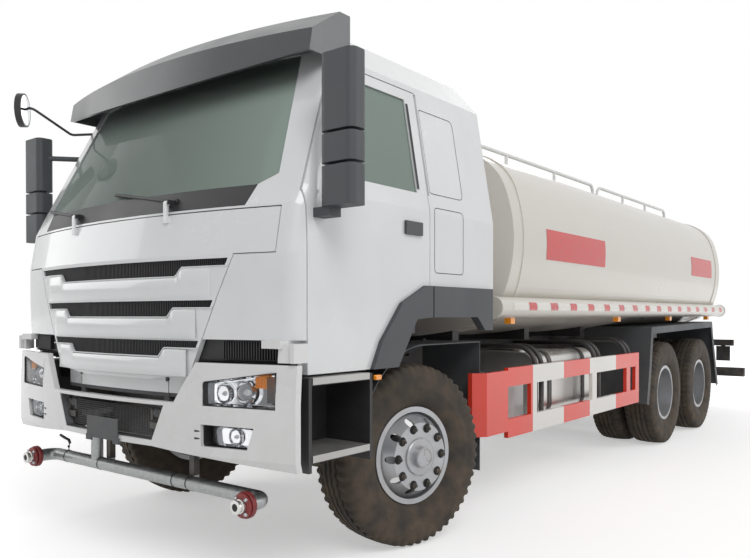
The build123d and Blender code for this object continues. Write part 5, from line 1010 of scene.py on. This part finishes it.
piece("SprayBolts", bolts, "rim_steel", "chassis")
# Dark rings at the bar's joints: the joints' own colour
for x in (-0.80, -0.43, 0.28, 0.40):
    joint_rings_and_mouth_shade.lathe([(BAR_R, -0.003), (BAR_R + 0.0016, -0.003), (BAR_R + 0.0016, 0.003), (BAR_R, 0.003)],
               (x, sy(BAR_Y), BAR_Z), (1, 0, 0), 32, close=True)
piece("SprayBarJointsAndMouthShade", joint_rings_and_mouth_shade, "groove", "chassis")
lever = Shape()
lever.pipe([(-0.80, sy(BAR_Y), 0.485), (-0.805, sy(BAR_Y), 0.515), (-0.79, sy(BAR_Y), 0.538),
            (-0.803, sy(BAR_Y), 0.556), (-0.85, sy(BAR_Y), 0.565), (-0.90, sy(BAR_Y), 0.577)], 0.009, 10)
piece("SprayLever", lever, "chassis_paint", "chassis", smooth=True)
SPRING_X = 0.39
posts = Shape()
for side in (-1, 1):
    posts.box(sorted((side * (SPRING_X - 0.0195), side * (SPRING_X + 0.0195))),
              (-1.1015, -1.0625), (0.489, 0.769))
    posts.box(sorted((side * 0.3485, side * 0.505)), (-1.3465, -1.30), (0.7685, 0.8015))
piece("SprayPosts", posts, "chassis_paint", "chassis", bevel=0.001)

# Cab trims: window seals, painted shade along the pressed outlines, mirror glass, step treads, arch lamps

WINDOW = [(-0.925, 2.048), (-0.855, 2.188), (-0.668, 2.592), (-0.128, 2.592), (-0.128, 2.048)]
HATCH = [(0.03, 1.60), (0.03, 1.98), (0.36, 1.98), (0.36, 1.60)]
BERTH = [(-0.008, 2.062), (-0.008, 2.562), (0.387, 2.562), (0.387, 2.062)]
SIDE_START = 1.45
shell_skin = Skin("cab_shell")
outline_gap_shade = Shape()
for side, hand in ((1, "left"), (-1, "right")):
    door_skin = Skin(f"door_{hand}")
    seal = Shape()
    route = [(side * SIDE_START, sy(y), z) for y, z in rounded(shrunk(WINDOW, 1.035), 0.05)]
    door_skin.ribbon(seal, route, 0.022, (-side, 0, 0), 0, lift=0.003, closed=True)
    piece(f"WindowSeal_{hand}", seal, "rubber", f"door_{hand}", smooth=True)
    # Near-black 4 mm ribbons laid flat on the shell: painted shade in the gaps of the hatch and berth
    # outlines
    for points, corner in ((HATCH, 0.03), (BERTH, 0.045)):
        route = [(side * SIDE_START, sy(y), z) for y, z in rounded(points, corner)]
        shell_skin.ribbon(outline_gap_shade, route, 0.004, (-side, 0, 0), 0, lift=0.001, closed=True)
    mark = Shape()
    mark.box(sorted((side * 1.236, side * 1.259)), (-0.60, -0.552), (1.017, 1.044))
    piece(f"ArchLamp_{hand}", mark, "amber", f"door_{hand}", bevel=0.005, smooth=True)
    treads = Shape()
    for z in (0.690, 1.056):
        treads.box(sorted((side * 0.955, side * 1.2465)), (-1.085, -0.643), (z + 0.0004, z + 0.0032))
        treads.box(sorted((side * 1.2444, side * 1.2475)), (-1.085, -0.643), (z - 0.030, z + 0.0032))
    piece(f"StepTreads_{hand}", treads, "tread_plate", "chassis")
piece("CabSideOutlineShade", outline_gap_shade, "groove", "cab", smooth=True)

LENS_REAR = 8.34
LENS_PROUD = 0.004
LENS_HIGH = (0.925, 0.989)
red_ends = Shape()
white_ends = Shape()
for side in (-1, 1):
    for shape, inner, outer in ((red_ends, 0.900, 0.998), (red_ends, 1.002, 1.097),
                                (white_ends, 0.803, 0.858)):
        shape.box(sorted((side * inner, side * outer)), (LENS_REAR - LENS_PROUD, LENS_REAR + LENS_PROUD),
                  LENS_HIGH)
piece("TailLensesRed", red_ends, "red_lens", "chassis", bevel=0.002)
piece("TailLensesWhite", white_ends, "white_tape", "chassis", bevel=0.002)

dial = Shape()
facing = Vector((1, 1, 0)).normalized()
dial_at = Vector((-1.345, sy(-1.130), 2.752)) + facing * 0.0212
dial.lathe([(0.0, 0.004), (0.05, 0.0035), (0.09, 0.0018), (0.101, 0.0)], dial_at, facing, 40)
piece("RoundMirrorGlass", dial, "mirror", "cab", smooth=True)

# Studio

floor_mesh = bpy.data.meshes.new("Floor")
floor_mesh.from_pydata([(-60, -60, 0), (60, -60, 0), (60, 60, 0), (-60, 60, 0)], [], [(0, 1, 2, 3)])
floor = bpy.data.objects.new("Floor", floor_mesh)
bpy.context.scene.collection.objects.link(floor)
floor.location = (0, 0, -0.001)
floor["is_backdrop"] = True
floor_mat = bpy.data.materials.new("PaleFloor")
floor_mat.use_nodes = True
tree = floor_mat.node_tree
base = tree.nodes["Principled BSDF"]
base.inputs["Base Color"].default_value = (0.8, 0.8, 0.8, 1)
base.inputs["Roughness"].default_value = 0.7
floor_mesh.materials.append(floor_mat)
FLOOR_NEAR, FLOOR_FAR = 4.0, 13.0
GLOW_NEAR, GLOW_FAR = 0.45, 1.0


def view_rays(tree):
    """Socket that is 1 on camera, glossy and transmission rays."""
    path = tree.nodes.new("ShaderNodeLightPath")
    total = path.outputs["Is Camera Ray"]
    for name in ("Is Glossy Ray", "Is Transmission Ray"):
        either = tree.nodes.new("ShaderNodeMath")
        either.operation = "MAXIMUM"
        tree.links.new(total, either.inputs[0])
        tree.links.new(path.outputs[name], either.inputs[1])
        total = either.outputs[0]
    return total


spot = tree.nodes.new("ShaderNodeTexCoord")
away = tree.nodes.new("ShaderNodeVectorMath")
away.operation = "LENGTH"
tree.links.new(spot.outputs["Object"], away.inputs[0])
glow = tree.nodes.new("ShaderNodeMapRange")
for name, value in (("From Min", FLOOR_NEAR), ("From Max", FLOOR_FAR), ("To Min", GLOW_NEAR),
                    ("To Max", GLOW_FAR)):
    glow.inputs[name].default_value = value
tree.links.new(away.outputs["Value"], glow.inputs["Value"])
only_seen = tree.nodes.new("ShaderNodeMath")
only_seen.operation = "MULTIPLY"
tree.links.new(glow.outputs["Result"], only_seen.inputs[0])
tree.links.new(view_rays(tree), only_seen.inputs[1])
base.inputs["Emission Color"].default_value = (1, 1, 1, 1)
tree.links.new(only_seen.outputs[0], base.inputs["Emission Strength"])

world = bpy.data.worlds.new("Studio")
bpy.context.scene.world = world
world.use_nodes = True
tree = world.node_tree
background = tree.nodes["Background"]
background.inputs["Color"].default_value = (1, 1, 1, 1)
strength = tree.nodes.new("ShaderNodeMapRange")
strength.inputs["To Min"].default_value = 0.34
strength.inputs["To Max"].default_value = 1.0
tree.links.new(view_rays(tree), strength.inputs["Value"])
tree.links.new(strength.outputs["Result"], background.inputs["Strength"])

LIGHTS = [
    # name, place, aim, size, power
    ("Key", (8.0, -9.0, 9.0), (0.5, -2.0, 1.5), 6.0, 520),
    ("Fill", (-9.0, -8.0, 6.0), (0, -2.0, 1.5), 7.0, 230),
    ("Flank", (11.0, 5.0, 7.0), (1.0, 2.0, 1.5), 6.0, 330),
    ("Back", (-6.0, 10.0, 8.0), (0, 2.0, 2.0), 6.0, 200),
]
for name, place, aim, size, power in LIGHTS:
    lamp = bpy.data.lights.new(name, "AREA")
    lamp.shape = "SQUARE"
    lamp.size = size
    lamp.energy = power
    obj = bpy.data.objects.new(name, lamp)
    obj.location = place
    obj.rotation_mode = "QUATERNION"
    obj.rotation_quaternion = (Vector(aim) - Vector(place)).to_track_quat("-Z", "Y")
    bpy.context.scene.collection.objects.link(obj)

CAMERA_AT = (3.5487, -7.2797, 1.3549)
YAW = radians(-39.899)
PITCH = radians(-0.6575)
ROLL = radians(-0.05)
FOCAL_PX = 748.0
FRAME_W, FRAME_H = 750, 558
CENTRE_PX = (329.84, 323.48)
camera_data = bpy.data.cameras.new("Camera")
camera_data.sensor_width = 36.0
camera_data.sensor_fit = "HORIZONTAL"
camera_data.lens = FOCAL_PX / FRAME_W * 36.0
camera_data.shift_x = (FRAME_W / 2 - CENTRE_PX[0]) / FRAME_W
camera_data.shift_y = (CENTRE_PX[1] - FRAME_H / 2) / FRAME_W
camera_data.clip_end = 200
camera = bpy.data.objects.new("Camera", camera_data)
ahead = Vector((sin(YAW) * cos(PITCH), cos(YAW) * cos(PITCH), sin(PITCH)))
level = Vector((cos(YAW), -sin(YAW), 0))
above = level.cross(ahead)
right = level * cos(ROLL) + above * sin(ROLL)
up = above * cos(ROLL) - level * sin(ROLL)
camera.matrix_world = Matrix((
    (right.x, up.x, -ahead.x, CAMERA_AT[0]), (right.y, up.y, -ahead.y, CAMERA_AT[1]),
    (right.z, up.z, -ahead.z, CAMERA_AT[2]), (0, 0, 0, 1),
))
bpy.context.scene.collection.objects.link(camera)
bpy.context.scene.camera = camera
bpy.context.scene.view_settings.view_transform = "Standard"

low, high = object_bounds()
